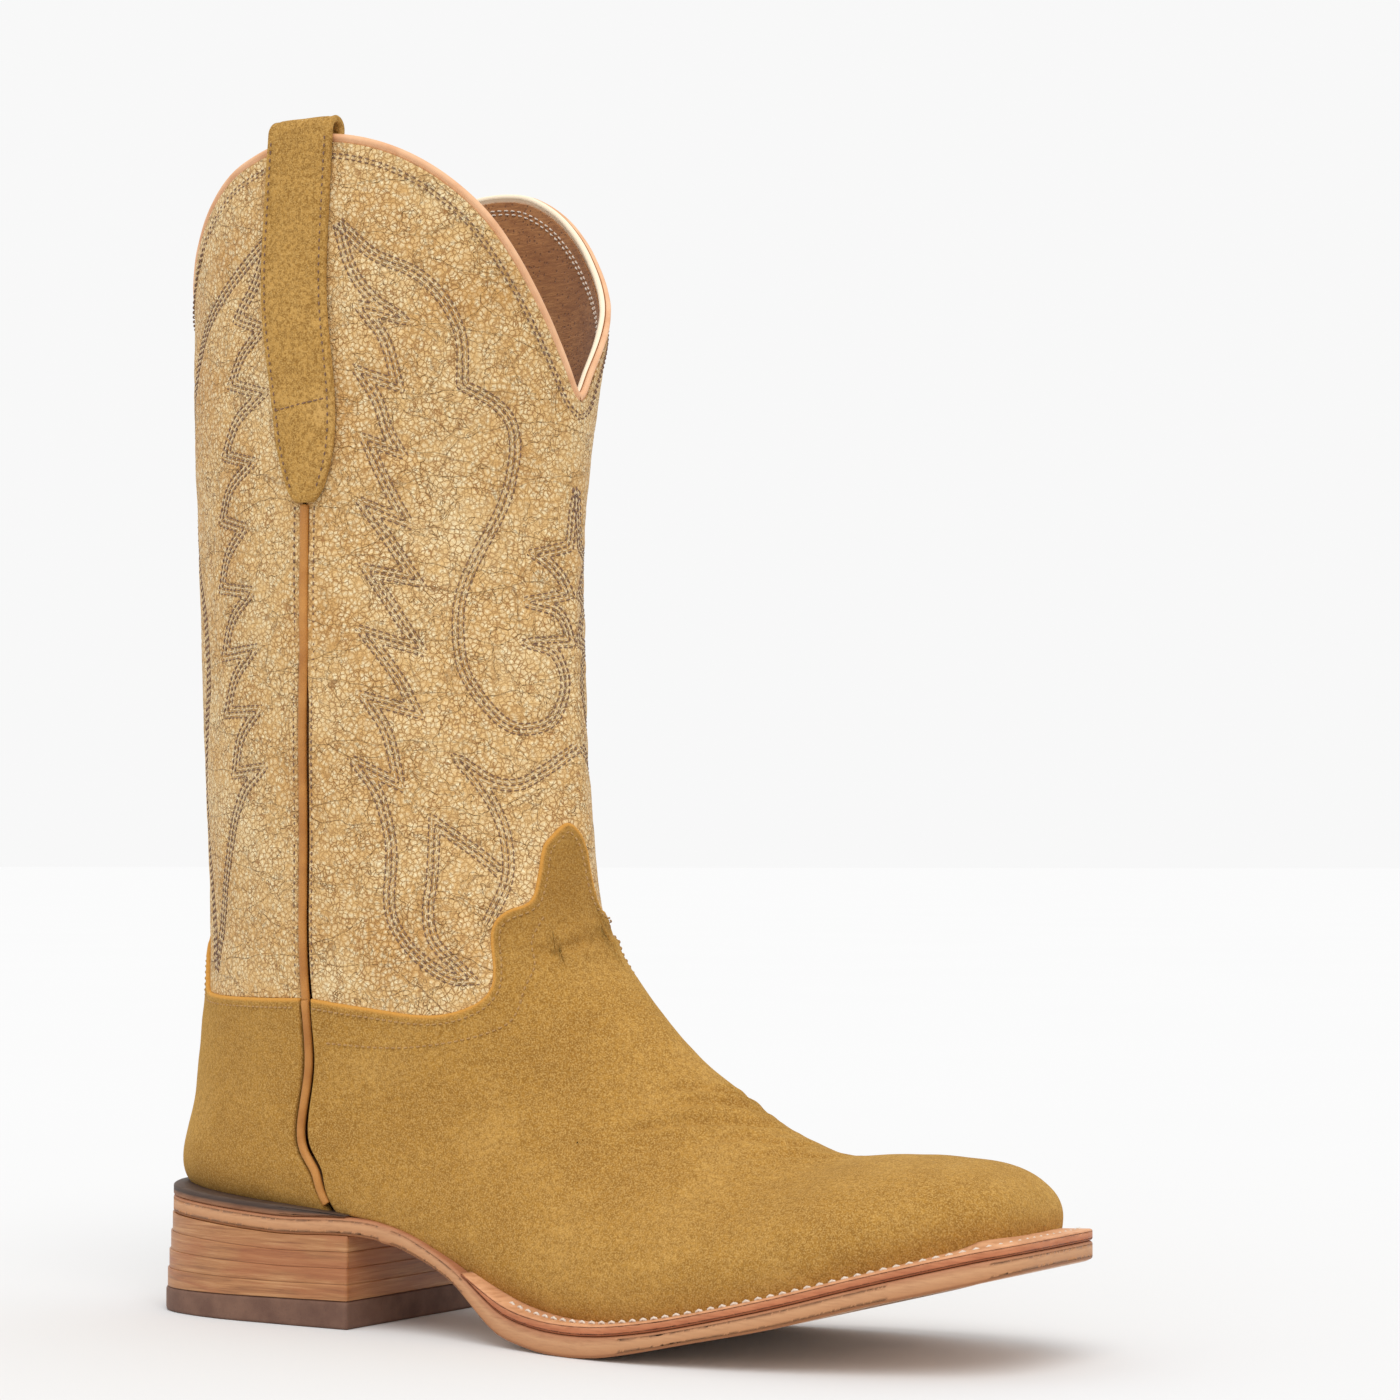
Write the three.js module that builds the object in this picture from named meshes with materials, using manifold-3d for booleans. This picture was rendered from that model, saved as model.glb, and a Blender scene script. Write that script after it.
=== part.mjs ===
// A right-foot western boot: broad square toe, scalloped shaft, stacked leather heel and pull straps.
// Design frame, in millimetres: x runs from the back of the heel to the toe, the outer (lateral) side is
// at -y, z is up and the ground is z = 0. The finished group is shifted so that its origin is the middle
// of its base.
import * as THREE from 'three';
import { mergeVertices } from 'three/addons/utils/BufferGeometryUtils.js';
import Module from 'manifold-3d';

const wasm = await Module();
wasm.setup();

// ---- driving dimensions ----
const GAP = 0.3; // clearance between neighbouring pieces
const SHAFT_LEATHER = 1.8;
const FOOT_LEATHER_PROUD = 0.6; // how far vamp and counter stand above the shaft leather that they overlap
const FOOT_LEATHER = 2.2;
const STIFFENER = 1.2;
const LINING = 1.2;
const SIDE_DEG = 90; // angle of the boot's side: 0 is the front, 180 the back
const SEAM_TOP_LATERAL = 87; // angle of the outer side's seam at the top
const SEAM_TOP_MEDIAL = 112; // the inner side's seam starts further back
const STRAP_SLOT_DEG = 0.3; // half of the seam's slot under the pull strap
const SEAM_GAP_DEG = 3; // half of the slot that the side piping fills
const SLOT_OPENS = [1.9, 2.05]; // stations between which the slot widens
const PIPING_RADIUS = 1.35;
const PIPING_TOP = 237; // height at which the piping comes out from under the pull strap
const PIPING_END = 7.95; // station at which the piping reaches the sole
const BINDING_RADIUS = 1.7;
const BINDING_JOIN_DEG = 0.2; // half of the gap between the two bindings at the seam
const BINDING_LIFT = 1.15; // how far the binding rides above the leather edges, clear of the front dip
const STRAP_THICK = 2.2;
const STRAP_TIP = 240;
const STRAP_INNER_END = 296;
const STRAP_INNER_LEG = [330, 312, STRAP_INNER_END]; // heights of the leg sewn inside the shaft
const SHAFT_TOP = 355.9; // height up to which the strap follows the shaft
const WELT_THICK = 2.9;
const OUTSOLE_THICK = 5.2;
const HEEL_BREAST = 84; // x of the heel's front face
const HEEL_LIFTS = 4;
const HEEL_FLARE = 2.7; // how far the foot of the heel stands behind its seat
const WELT_BACK = 128; // x of the welt's skived back end
const WELT_WIDTH = 13;
const RAND_WIDTH = 9;
const INSOLE_THICK = 2.5;
const INSOLE_PLAY = 1.5; // room left round the insole inside the lining
const FOOTBED_THICK = 2.5;
const NAIL_RADIUS = 1.3;
const NAIL_HEAD_RADIUS = 2.6;
const NAIL_HEAD_THICK = 1.2;
const NAIL_TIP = 12; // height of a nail's point
const SHANK = { from: 58, to: 150, halfWidth: 7, top: 1.9 }; // x, x, y and height above the seat
const STATION_STEP = 0.02; // steps for the slopes of the skin
const ANGLE_STEP = 1.5;

// Stations of the upper, from the top of the shaft over the instep to the toe. Each is one slanted ring:
// front point x, z; back (or underside) point x, z; half width outside and inside; where between back and
// front the ring is widest; roundness of its front half and of its back half (2 is an ellipse).
const STATIONS = [
  [149, 356, 6, 356, 50, 53, 0.5, 2.1, 2],
  [143.5, 300, 7, 300, 50, 51.5, 0.5, 2.05, 2],
  [140, 240, 8.5, 240, 48, 47, 0.5, 1.6, 2],
  [140.5, 190, 10, 186, 45, 44, 0.5, 1.6, 2],
  [143, 150, 11, 138, 41, 40, 0.5, 1.65, 2],
  [147.5, 118, 10, 100, 38, 37, 0.48, 1.8, 2],
  [162, 96.5, 6.5, 66, 35, 34, 0.45, 1.9, 2.2],
  [180, 79, 5, 38, 34, 33, 0.4, 1.9, 2.4],
  [196, 68, 50, 28, 34, 33, 0.36, 1.9, 3],
  [210, 59.5, 110, 14, 38, 34, 0.33, 1.9, 3],
  [228, 53, 172, 0, 46, 37, 0.33, 2, 3],
  [248, 54, 222, 7, 47, 39, 0.33, 2.1, 3],
  [265, 54, 253, 16, 40, 35, 0.34, 2.3, 3],
  [276.5, 52.5, 272.5, 23, 32, 28, 0.36, 2.5, 3],
  [285.5, 48, 283.5, 29, 23, 21, 0.4, 2.5, 3],
  [289.5, 43, 288.5, 33, 14, 13, 0.45, 2.5, 2.5],
  [290.5, 38, 290.5, 38, 0, 0, 0.5, 2.5, 2.5],
];
const TOE_TIP = STATIONS.length - 1;
// Curves are lists of [position, value].
// Angle of the side seam at each station; both seams run alike from the ankle down.
const SEAM_FOOT = [[5, 96], [6, 94.5], [7, 94.5], [7.5, 98], [8, 112], [8.5, 133], [9, 154], [9.6, 168],
  [10.5, 172], [TOE_TIP, 172]];
const SEAM_LATERAL = [[0, SEAM_TOP_LATERAL], [1, 88], [2, 86], [3, 91], [4, 95], ...SEAM_FOOT];
const SEAM_MEDIAL = [[0, SEAM_TOP_MEDIAL], [1, 111], [2, 107], [3, 102], [4, 98], ...SEAM_FOOT];
// Heights of edges by angle. The shaft's top rises higher on the outer side than on the inner one.
const TOPLINE_BACK = [[150, 307], [165, 300.5], [180, 298]];
const TOPLINE = {
  lateral: [[0, 270], [5, 272.3], [10, 279], [20, 294], [30, 308], [40, 320], [50, 329], [60, 336],
    [70, 341], [80, 344], [90, 345], [96, 344], [105, 341.5], [115, 337.5], [125, 330.5], [135, 321.5],
    ...TOPLINE_BACK],
  medial: [[0, 270], [5, 272.3], [10, 279], [20, 289], [30, 298], [40, 306], [50, 315], [60, 325],
    [70, 334], [80, 340.5], [87, 342.5], [95, 342.5], [105, 340], [115, 335.5], [125, 329], [135, 321],
    ...TOPLINE_BACK],
};
// The vamp's tongue points a little to the outer side.
const VAMP_EDGE = {
  lateral: [[0, 131], [1, 135.5], [2.5, 139], [5, 142.5], [8.5, 145.2], [12.5, 147], [16, 146.2],
    [20, 143.5], [24, 139.5], [26, 132], [29, 125], [38, 121], [42.5, 116], [45, 106], [48, 99.5],
    [54, 94.5], [64, 91.5], [79, 93.5], [96, 96]],
  medial: [[0, 131], [2, 125.5], [5.5, 122], [12, 120.5], [17, 116], [20, 106], [23, 99.5], [29, 94.5],
    [39, 91.5], [56, 93], [96, 96]],
};
const COUNTER_EDGE = [[90, 96], [112, 95.5], [140, 96], [148, 98], [154, 106], [165, 113], [180, 118]];
const LINING_EDGE = [[0, 128], [50, 104], [96, 94], [180, 94]];
const SEAT = [[0, 38.7], [40, 36], [84, 33], [104, 29.5], [123, 22], [144, 12.8], [160, 9.8], [178, 9.5],
  [195, 11.5], [212, 14.8], [236, 20.5], [260, 27], [287, 33.8], [300, 36.5]]; // height the upper stands on
const WAIST = 96; // x at which the outsole leaves the heel
const TREAD = [[WAIST, 25.8], [104, 24.3], [123, 17], [141, 4.5], [155, 1], [168, 0], [180, 0.6], [190, 2.2],
  [210, 6.4], [236, 12], [260, 18.5], [287, 25], [300, 28.5]]; // outsole's underside ahead of the heel
const SOLE_LATERAL = [[1.5, 0], [3, -13], [13, -27], [34, -34], [60, -35.5], [84, -36], [105, -37],
  [135, -43], [165, -51], [195, -55], [225, -54], [255, -49], [278, -42], [291, -35], [297, -24],
  [298.5, -8]];
const SOLE_MEDIAL = [[298.5, 8], [296.5, 18], [290, 28], [276, 36], [255, 43], [225, 46], [200, 44],
  [165, 38], [130, 33], [105, 32], [84, 33], [60, 34], [34, 32], [13, 26], [3, 13]];
// Pull straps: x of the middle by height, and the height at which each starts to turn over the edge.
const STRAP_LATERAL = {
  centre: [[STRAP_TIP, 77.5], [256, 77.6], [271, 77.1], [300, 74.5], [330, 75.7], [356, 77.3]],
  archFoot: 348.3,
};
const STRAP_MEDIAL = { centre: [[STRAP_TIP, 55], [300, 51], [356, 50.5]], archFoot: 345 };
const STRAP_HALF = [[240, 2.6], [241.5, 4.2], [245, 6.1], [256, 9.2], [271, 10.7], [300, 11.5], [356, 11.3]];
const NAILS = [[16, 0], [28, 17], [28, -17], [58, 19], [58, -19]]; // x, y of each heel nail

const LEATHERS = {
  gold: { color: 0xcaa86e, roughness: 0.55 },
  suede: { color: 0xa87c30, roughness: 0.95 },
  lining: { color: 0xb07a50, roughness: 0.8 },
  piping: { color: 0xb8823a, roughness: 0.6 },
  binding: { color: 0xd0a070, roughness: 0.6 },
  board: { color: 0xb89468, roughness: 0.9 },
  sole: { color: 0xb9855a, roughness: 0.7 },
  welt: { color: 0xc07a50, roughness: 0.7 },
  rand: { color: 0x4e3d34, roughness: 0.7 },
  stack: { color: 0xa9754a, roughness: 0.6 },
  rubber: { color: 0x5f4b3e, roughness: 0.85 },
  cork: { color: 0xa8845c, roughness: 1 },
  steel: { color: 0x9a9ca0, roughness: 0.35, metalness: 1 },
};

// ---- curves ----
const rad = THREE.MathUtils.degToRad;
const lerp = THREE.MathUtils.lerp;

// Smooth value of a [position, value] list, with the slopes of its neighbours at each point.
function follow(list, x) {
  const last = list.length - 1;
  if (x <= list[0][0]) return list[0][1];
  if (x >= list[last][0]) return list[last][1];
  const slope = (k) => {
    const a = list[Math.max(k - 1, 0)];
    const b = list[Math.min(k + 1, last)];
    return (b[1] - a[1]) / (b[0] - a[0]);
  };
  let i = 0;
  while (x > list[i + 1][0]) i += 1;
  const [x0, y0] = list[i];
  const [x1, y1] = list[i + 1];
  const h = x1 - x0;
  const u = (x - x0) / h;
  const bend0 = slope(i) * h - (y1 - y0);
  const bend1 = -slope(i + 1) * h + (y1 - y0);
  return lerp(y0, y1, u) + u * (1 - u) * ((1 - u) * bend0 + u * bend1);
}

function station(t) {
  const last = STATIONS.length - 1;
  const i = Math.min(Math.floor(t), last - 1);
  const u = t - i;
  const row = (k) => STATIONS[Math.min(Math.max(k, 0), last)];
  return STATIONS[i].map((_, c) => {
    const p1 = row(i)[c];
    const p2 = row(i + 1)[c];
    const p0 = i > 0 ? row(i - 1)[c] : 2 * p1 - p2;
    const p3 = i + 2 <= last ? row(i + 2)[c] : 2 * p2 - p1;
    return 0.5 * (2 * p1 + (p2 - p0) * u + (2 * p0 - 5 * p1 + 4 * p2 - p3) * u * u
      + (3 * p1 - p0 - 3 * p2 + p3) * u ** 3);
  });
}

// ---- the upper's outer surface ----
function skin(t, deg) {
  const [fx, fz, bx, bz, lateral, medial, share, nf, nb] = station(t);
  const c = Math.cos(rad(deg));
  const s = Math.sin(rad(deg));
  const n = c >= 0 ? nf : nb;
  const along = Math.abs(c) ** (2 / n);
  const across = Math.abs(s) ** (2 / n);
  const cx = lerp(bx, fx, share);
  const cz = lerp(bz, fz, share);
  const ex = c >= 0 ? fx : bx;
  const ez = c >= 0 ? fz : bz;
  const y = -Math.sign(s) * across * (s >= 0 ? lateral : medial);
  return new THREE.Vector3(cx + (ex - cx) * along, y, cz + (ez - cz) * along);
}

// A point under the skin: positive depth is into the boot.
function under(t, deg, depth) {
  const p = skin(t, deg);
  if (t > TOE_TIP - 0.01) return p.setX(p.x - depth);
  const ahead = Math.min(t + STATION_STEP, TOE_TIP);
  const along = skin(ahead, deg).sub(skin(Math.max(t - STATION_STEP, 0), deg));
  const round = skin(t, deg + ANGLE_STEP).sub(skin(t, deg - ANGLE_STEP));
  const inward = along.cross(round).normalize();
  return p.addScaledVector(inward, depth);
}

// Station at which the ring's edge at this angle comes down to height z on the shaft or instep.
function stationAt(z, deg) {
  let low = 0;
  let high = 8;
  for (let k = 0; k < 30; k += 1) {
    const mid = (low + high) / 2;
    if (skin(mid, deg).z > z) low = mid;
    else high = mid;
  }
  return (low + high) / 2;
}

const seamAngle = (t, side) => follow(side > 0 ? SEAM_LATERAL : SEAM_MEDIAL, t);
const fold = (deg) => Math.abs(((deg + 540) % 360) - 180); // 0 at the front, 180 at the back, either side
const sideOf = (curve, deg) => (Math.sin(rad(deg)) >= 0 ? curve.lateral : curve.medial) ?? curve;
const edgeStation = (curve, lift) => (deg) => stationAt(follow(sideOf(curve, deg), fold(deg)) + lift, deg);
const toplineStation = edgeStation(TOPLINE, 0);

// Half slot at the side seam: closed under the pull strap, open for the piping below it.
const slot = (t) => lerp(STRAP_SLOT_DEG, SEAM_GAP_DEG, THREE.MathUtils.smoothstep(t, ...SLOT_OPENS));

// ---- solids ----
function meshOf(points, faces) {
  const geometry = new THREE.BufferGeometry();
  const coordinates = points.flatMap((p) => p.toArray());
  geometry.setAttribute('position', new THREE.Float32BufferAttribute(coordinates, 3));
  geometry.setIndex(faces.flat());
  return geometry;
}

function toSolid(geometry) {
  const bare = geometry.clone();
  bare.deleteAttribute('normal');
  bare.deleteAttribute('uv');
  const merged = mergeVertices(bare, 1e-4);
  const index = merged.index.array;
  const faces = [];
  for (let k = 0; k < index.length; k += 3) {
    const [a, b, c] = [index[k], index[k + 1], index[k + 2]];
    if (a !== b && b !== c && c !== a) faces.push(a, b, c);
  }
  return new wasm.Manifold(new wasm.Mesh({
    numProp: 3,
    vertProperties: new Float32Array(merged.attributes.position.array),
    triVerts: new Uint32Array(faces),
  }));
}

function toGeometry(solid) {
  const { vertProperties, triVerts } = solid.getMesh();
  const geometry = new THREE.BufferGeometry();
  geometry.setAttribute('position', new THREE.BufferAttribute(new Float32Array(vertProperties), 3));
  geometry.setIndex(new THREE.BufferAttribute(new Uint32Array(triVerts), 1));
  geometry.computeVertexNormals();
  return geometry;
}

// A closed shell from two grids of points: at(i, j, 0) is the outer face and at(i, j, 1) the inner face.
function shell(rows, columns, at) {
  const points = [];
  for (let side = 0; side < 2; side += 1) {
    for (let i = 0; i < rows; i += 1) {
      for (let j = 0; j < columns; j += 1) points.push(at(i, j, side));
    }
  }
  const id = (i, j, side) => side * rows * columns + i * columns + j;
  const faces = [];
  const quad = (a, b, c, d) => faces.push([a, c, b], [a, d, c]);
  for (let i = 0; i < rows - 1; i += 1) {
    for (let j = 0; j < columns - 1; j += 1) {
      quad(id(i, j, 0), id(i + 1, j, 0), id(i + 1, j + 1, 0), id(i, j + 1, 0));
      quad(id(i, j, 1), id(i, j + 1, 1), id(i + 1, j + 1, 1), id(i + 1, j, 1));
    }
    quad(id(i, 0, 0), id(i, 0, 1), id(i + 1, 0, 1), id(i + 1, 0, 0));
    const end = columns - 1;
    quad(id(i, end, 0), id(i + 1, end, 0), id(i + 1, end, 1), id(i, end, 1));
  }
  for (let j = 0; j < columns - 1; j += 1) {
    quad(id(0, j, 0), id(0, j + 1, 0), id(0, j + 1, 1), id(0, j, 1));
    quad(id(rows - 1, j, 0), id(rows - 1, j, 1), id(rows - 1, j + 1, 1), id(rows - 1, j + 1, 0));
  }
  return toSolid(meshOf(points, faces));
}

// A leather panel: columns are shares of the angle between its two side edges, from the medial to the
// lateral one; from() and to() give the stations of its upper and lower edge at an angle.
function panel({ columns, rows, low, high, from, to, depth, thick }) {
  const angleAt = (j, t) => lerp(low(t), high(t), columns[j]);
  const bounds = columns.map((_, j) => {
    let first = 3;
    let last = 5;
    for (let k = 0; k < 4; k += 1) {
      first = from(angleAt(j, first));
      last = to(angleAt(j, last));
    }
    return [first, last];
  });
  return shell(rows.length, columns.length, (i, j, side) => {
    const t = THREE.MathUtils.clamp(rows[i], ...bounds[j]);
    const deg = angleAt(j, t);
    return under(t, deg, depth(t) + side * thick);
  });
}

const even = (n) => Array.from({ length: n + 1 }, (_, k) => k / n);
// Angles of the front half's columns, closest together at the corners of the vamp's scalloped edge.
const MEDIAL_COLUMNS = [-96, -89, -78, -60, -42, -31, -25, -21, -18, -13, -6, -2];
const LATERAL_COLUMNS = [0, 2, 7, 12.5, 19, 25, 36, 44, 54, 66, 80, 89, 96];
const FRONT = [...MEDIAL_COLUMNS, ...LATERAL_COLUMNS].map((a) => (a + 96) / 192);
const BACK = even(18);
// Rows are stations; a row beyond a panel's edge falls together with that edge.
const SHAFT_ROWS = [0, 0.8, 1.5, 2.2, 3, 3.6, 4.1, 4.6, 5.1, 6];
const FOOT_ROWS = [4, 4.6, 5.1, 5.5, 6, 6.5, 7, 7.5, 8.2, 9];

// ---- sole and heel layers: a vertical prism cut by a band between two height profiles ----
function prism(points, low = -10, high = 90) {
  const shape = new THREE.Shape(points.map(([x, y]) => new THREE.Vector2(x, y)));
  const geometry = new THREE.ExtrudeGeometry(shape, { depth: high - low, bevelEnabled: false });
  return toSolid(geometry.translate(0, 0, low));
}

function band(low, high, stepX = 8, last = 320) {
  const [first, halfWidth] = [-16, 90];
  const xs = [];
  for (let x = first; x <= last; x += stepX) xs.push(x);
  const points = [...xs.map((x) => [x, low(x)]), ...xs.reverse().map((x) => [x, high(x)])];
  const shape = new THREE.Shape(points.map(([x, z]) => new THREE.Vector2(x, z)));
  const geometry = new THREE.ExtrudeGeometry(shape, { depth: 2 * halfWidth, bevelEnabled: false });
  return toSolid(geometry.rotateX(Math.PI / 2).translate(0, halfWidth, 0));
}

function block(x0, x1, y0, y1, z0, z1) {
  const geometry = new THREE.BoxGeometry(x1 - x0, y1 - y0, z1 - z0);
  return toSolid(geometry.translate((x0 + x1) / 2, (y0 + y1) / 2, (z0 + z1) / 2));
}

// The sole's outline seen from above, moved inwards by inset.
function soleOutline(inset = 0, count = 60) {
  const route = [...SOLE_LATERAL, ...SOLE_MEDIAL].map(([x, y]) => new THREE.Vector3(x, y, 0));
  const curve = new THREE.CatmullRomCurve3(route, true);
  return Array.from({ length: count }, (_, k) => {
    const p = curve.getPointAt(k / count);
    const d = curve.getTangentAt(k / count);
    return [p.x - d.y * inset, p.y + d.x * inset];
  });
}

const seat = (x) => follow(SEAT, x);
// Share of the welt or rand thickness that lies between outsole and upper: none in the waist.
const stripShare = (x) => Math.max(1 - THREE.MathUtils.smoothstep(x, 54, HEEL_BREAST + 12),
  THREE.MathUtils.smoothstep(x, WELT_BACK - 8, WELT_BACK + 18));
const outsoleTop = (x) => seat(x) - (WELT_THICK + GAP) * stripShare(x);
const heelSeat = (x) => outsoleTop(x) - OUTSOLE_THICK;
const outsoleBottom = (x) => (x < WAIST ? heelSeat(x) : Math.max(follow(TREAD, x), 0));
const capTop = (x) => 7 + (1.2 * x) / HEEL_BREAST;
const fillerTop = (x) => seat(x) + lerp(1.9, 0.6, THREE.MathUtils.smoothstep(x, 150, 190));
const above = (fn, rise) => (x) => fn(x) + rise;
const stripLow = (x) => Math.min(outsoleTop(x) + GAP, seat(x) - 0.1);

// ---- pieces of the upper ----
const ground = band(() => -60, above(seat, GAP));
const standing = (solid) => solid.subtract(ground);
const beforeSeam = (side) => (t) => side * (seamAngle(t, side) - slot(t));
const behindSeam = (side) => (t) => (side > 0 ? 0 : 360) + side * (seamAngle(t, side) + slot(t));

const footDepth = () => -FOOT_LEATHER_PROUD;
const stiffDepth = () => FOOT_LEATHER - FOOT_LEATHER_PROUD + GAP;
const toeSwell = (t) => THREE.MathUtils.smoothstep(t, 10.4, 10.9);
const heelSwell = (t) => THREE.MathUtils.smoothstep(t, 5.5, 6);
const shaftLiningDepth = () => SHAFT_LEATHER + GAP;
const footLiningDepth = (swell) => (t) => shaftLiningDepth() + (STIFFENER + GAP) * swell(t);

function shaftFront() {
  return panel({ columns: FRONT, rows: SHAFT_ROWS, low: beforeSeam(-1), high: beforeSeam(1),
    from: toplineStation, to: edgeStation(VAMP_EDGE, GAP), depth: () => 0, thick: SHAFT_LEATHER });
}

function shaftBack() {
  return panel({ columns: BACK, rows: SHAFT_ROWS, low: behindSeam(1), high: behindSeam(-1),
    from: toplineStation, to: edgeStation(COUNTER_EDGE, GAP), depth: () => 0, thick: SHAFT_LEATHER });
}

function shaftLining(columns, low, high) {
  return panel({ columns, rows: SHAFT_ROWS, low, high, from: toplineStation,
    to: edgeStation(LINING_EDGE, GAP), depth: shaftLiningDepth, thick: LINING });
}

const TOE_ROWS = [10, 11, 12, 12.7, 13.4, 14, 14.5, 15, 15.5, TOE_TIP];

function vamp() {
  return standing(panel({ columns: FRONT, rows: [...FOOT_ROWS, ...TOE_ROWS], low: beforeSeam(-1),
    high: beforeSeam(1), from: edgeStation(VAMP_EDGE, -GAP), to: () => TOE_TIP, depth: footDepth,
    thick: FOOT_LEATHER }));
}

function vampLining() {
  return standing(panel({ columns: FRONT, rows: [...FOOT_ROWS, ...TOE_ROWS], low: beforeSeam(-1),
    high: beforeSeam(1), from: edgeStation(LINING_EDGE, -GAP), to: () => TOE_TIP,
    depth: footLiningDepth(toeSwell), thick: LINING }));
}

function toeBox() {
  return standing(panel({ columns: FRONT, rows: TOE_ROWS.slice(1), low: beforeSeam(-1), high: beforeSeam(1),
    from: () => 11, to: () => TOE_TIP, depth: stiffDepth, thick: STIFFENER }));
}

function heelCover() {
  return standing(panel({ columns: BACK, rows: FOOT_ROWS, low: behindSeam(1), high: behindSeam(-1),
    from: edgeStation(COUNTER_EDGE, -GAP), to: () => 9, depth: footDepth, thick: FOOT_LEATHER }));
}

function heelLining() {
  return standing(panel({ columns: BACK, rows: FOOT_ROWS, low: behindSeam(1), high: behindSeam(-1),
    from: edgeStation(LINING_EDGE, -GAP), to: () => 9, depth: footLiningDepth(heelSwell), thick: LINING }));
}

function heelStiffener() {
  const low = (t) => seamAngle(t, 1) + 12;
  const high = (t) => 348 - seamAngle(t, -1);
  return standing(panel({ columns: BACK, rows: FOOT_ROWS.slice(4), low, high, from: () => 6, to: () => 9,
    depth: stiffDepth, thick: STIFFENER }));
}

// ---- trims ----
function tube(route, radius, steps, sides = 6) {
  const points = Array.from({ length: sides }, (_, k) => {
    const a = (2 * Math.PI * (k + 0.5)) / sides;
    return new THREE.Vector2(radius * Math.cos(a), radius * Math.sin(a));
  });
  const options = { steps, extrudePath: new THREE.CatmullRomCurve3(route), bevelEnabled: false };
  return toSolid(new THREE.ExtrudeGeometry(new THREE.Shape(points), options));
}

function piping(side) {
  const first = stationAt(PIPING_TOP, SIDE_DEG);
  const route = even(16).map((share) => {
    const t = lerp(first, PIPING_END, share);
    return under(t, side * seamAngle(t, side), 0);
  });
  return tube(route, PIPING_RADIUS, 22);
}

function binding(from, to) {
  const edge = (deg, depth) => under(toplineStation(deg), deg, depth);
  const half = (SHAFT_LEATHER + GAP + LINING) / 2;
  const route = even(28).map((share) => {
    const deg = lerp(from, to, share);
    const along = edge(deg + 1, half).sub(edge(deg - 1, half));
    const outward = edge(deg, 0).sub(edge(deg, half));
    const upward = along.cross(outward).normalize();
    return edge(deg, half).addScaledVector(upward, BINDING_RADIUS + BINDING_LIFT);
  });
  return tube(route, BINDING_RADIUS, 36);
}

// Point of the skin's side at a given x and height.
function sidePoint(x, z, side, depth) {
  let near = 30;
  let far = 150;
  for (let k = 0; k < 30; k += 1) {
    const mid = (near + far) / 2;
    if (skin(stationAt(z, side * mid), side * mid).x > x) near = mid;
    else far = mid;
  }
  return under(stationAt(z, side * near), side * near, depth);
}

// One strap of leather, sewn flat to the shaft outside and inside, with an arch over the topline.
function pullStrap(side, { centre, archFoot }) {
  const outside = -GAP - STRAP_THICK;
  const inside = SHAFT_LEATHER + GAP + LINING + 2 * GAP;
  const radius = (inside + STRAP_THICK - outside) / 2;
  const legs = [STRAP_TIP, 241.5, 245, 250, 256, 271, 290, 310, 330, archFoot - 6];
  const path = [...legs.map((z) => [z, outside, outside + STRAP_THICK])];
  for (let k = 0; k <= 6; k += 1) {
    const a = (Math.PI * k) / 6;
    const outer = outside + radius - radius * Math.cos(a);
    const rise = Math.sin(a);
    const innerRadius = radius - STRAP_THICK;
    path.push([archFoot + radius * rise, outer, outside + radius - innerRadius * Math.cos(a),
      archFoot + innerRadius * rise]);
  }
  path.push(...STRAP_INNER_LEG.map((z) => [z, inside + STRAP_THICK, inside]));
  const across = even(4);
  const last = path.length - 1;
  return shell(path.length, across.length, (i, j, face) => {
    const [zOuter, dOuter, dInner, zInner] = path[i];
    const z = face ? (zInner ?? zOuter) : zOuter;
    const half = follow(STRAP_HALF, i > last - STRAP_INNER_LEG.length ? archFoot : zOuter);
    const x = follow(centre, zOuter) + half * (2 * across[side > 0 ? j : across.length - 1 - j] - 1);
    const foot = sidePoint(x, Math.min(z, SHAFT_TOP), side, face ? dInner : dOuter);
    return foot.setZ(z + (foot.z - z) * (z < archFoot ? 1 : 0));
  });
}

// ---- bottom ----
function cavity(depth) {
  const rows = [...FOOT_ROWS.slice(3), ...TOE_ROWS.slice(0, -1)];
  const columns = 24;
  const points = rows.flatMap((t) => Array.from({ length: columns }, (_, j) => under(t, (360 * j) / columns,
    depth(t))));
  const top = points.length;
  points.push(skin(rows[0], 90).setY(0));
  points.push(under(TOE_TIP, 0, depth(TOE_TIP)));
  const id = (i, j) => i * columns + (j % columns);
  const faces = [];
  for (let j = 0; j < columns; j += 1) {
    faces.push([top, id(0, j + 1), id(0, j)]);
    faces.push([id(rows.length - 1, j), id(rows.length - 1, j + 1), top + 1]);
    for (let i = 0; i < rows.length - 1; i += 1) {
      faces.push([id(i, j), id(i + 1, j + 1), id(i + 1, j)], [id(i, j), id(i, j + 1), id(i + 1, j + 1)]);
    }
  }
  return toSolid(meshOf(points, faces));
}

// Room inside the lining, for the insole and the footbed.
const room = (clearance) => cavity((t) => footLiningDepth((s) => Math.max(toeSwell(s), heelSwell(s)
  * (1 - THREE.MathUtils.smoothstep(s, 8.6, 9.4))))(t) + LINING + clearance);

function insole() {
  return room(INSOLE_PLAY).intersect(band(above(fillerTop, GAP), above(fillerTop, GAP + INSOLE_THICK)));
}

function footbed() {
  const low = GAP + INSOLE_THICK + GAP;
  return room(INSOLE_PLAY).intersect(band(above(fillerTop, low), above(fillerTop, low + FOOTBED_THICK)));
}

function shank(grow = 0) {
  const half = SHANK.halfWidth + grow;
  const strip = block(SHANK.from - grow, SHANK.to + grow, -half, half, 0, 60);
  return strip.intersect(band(above(seat, GAP - grow), above(seat, SHANK.top + grow)));
}

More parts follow.
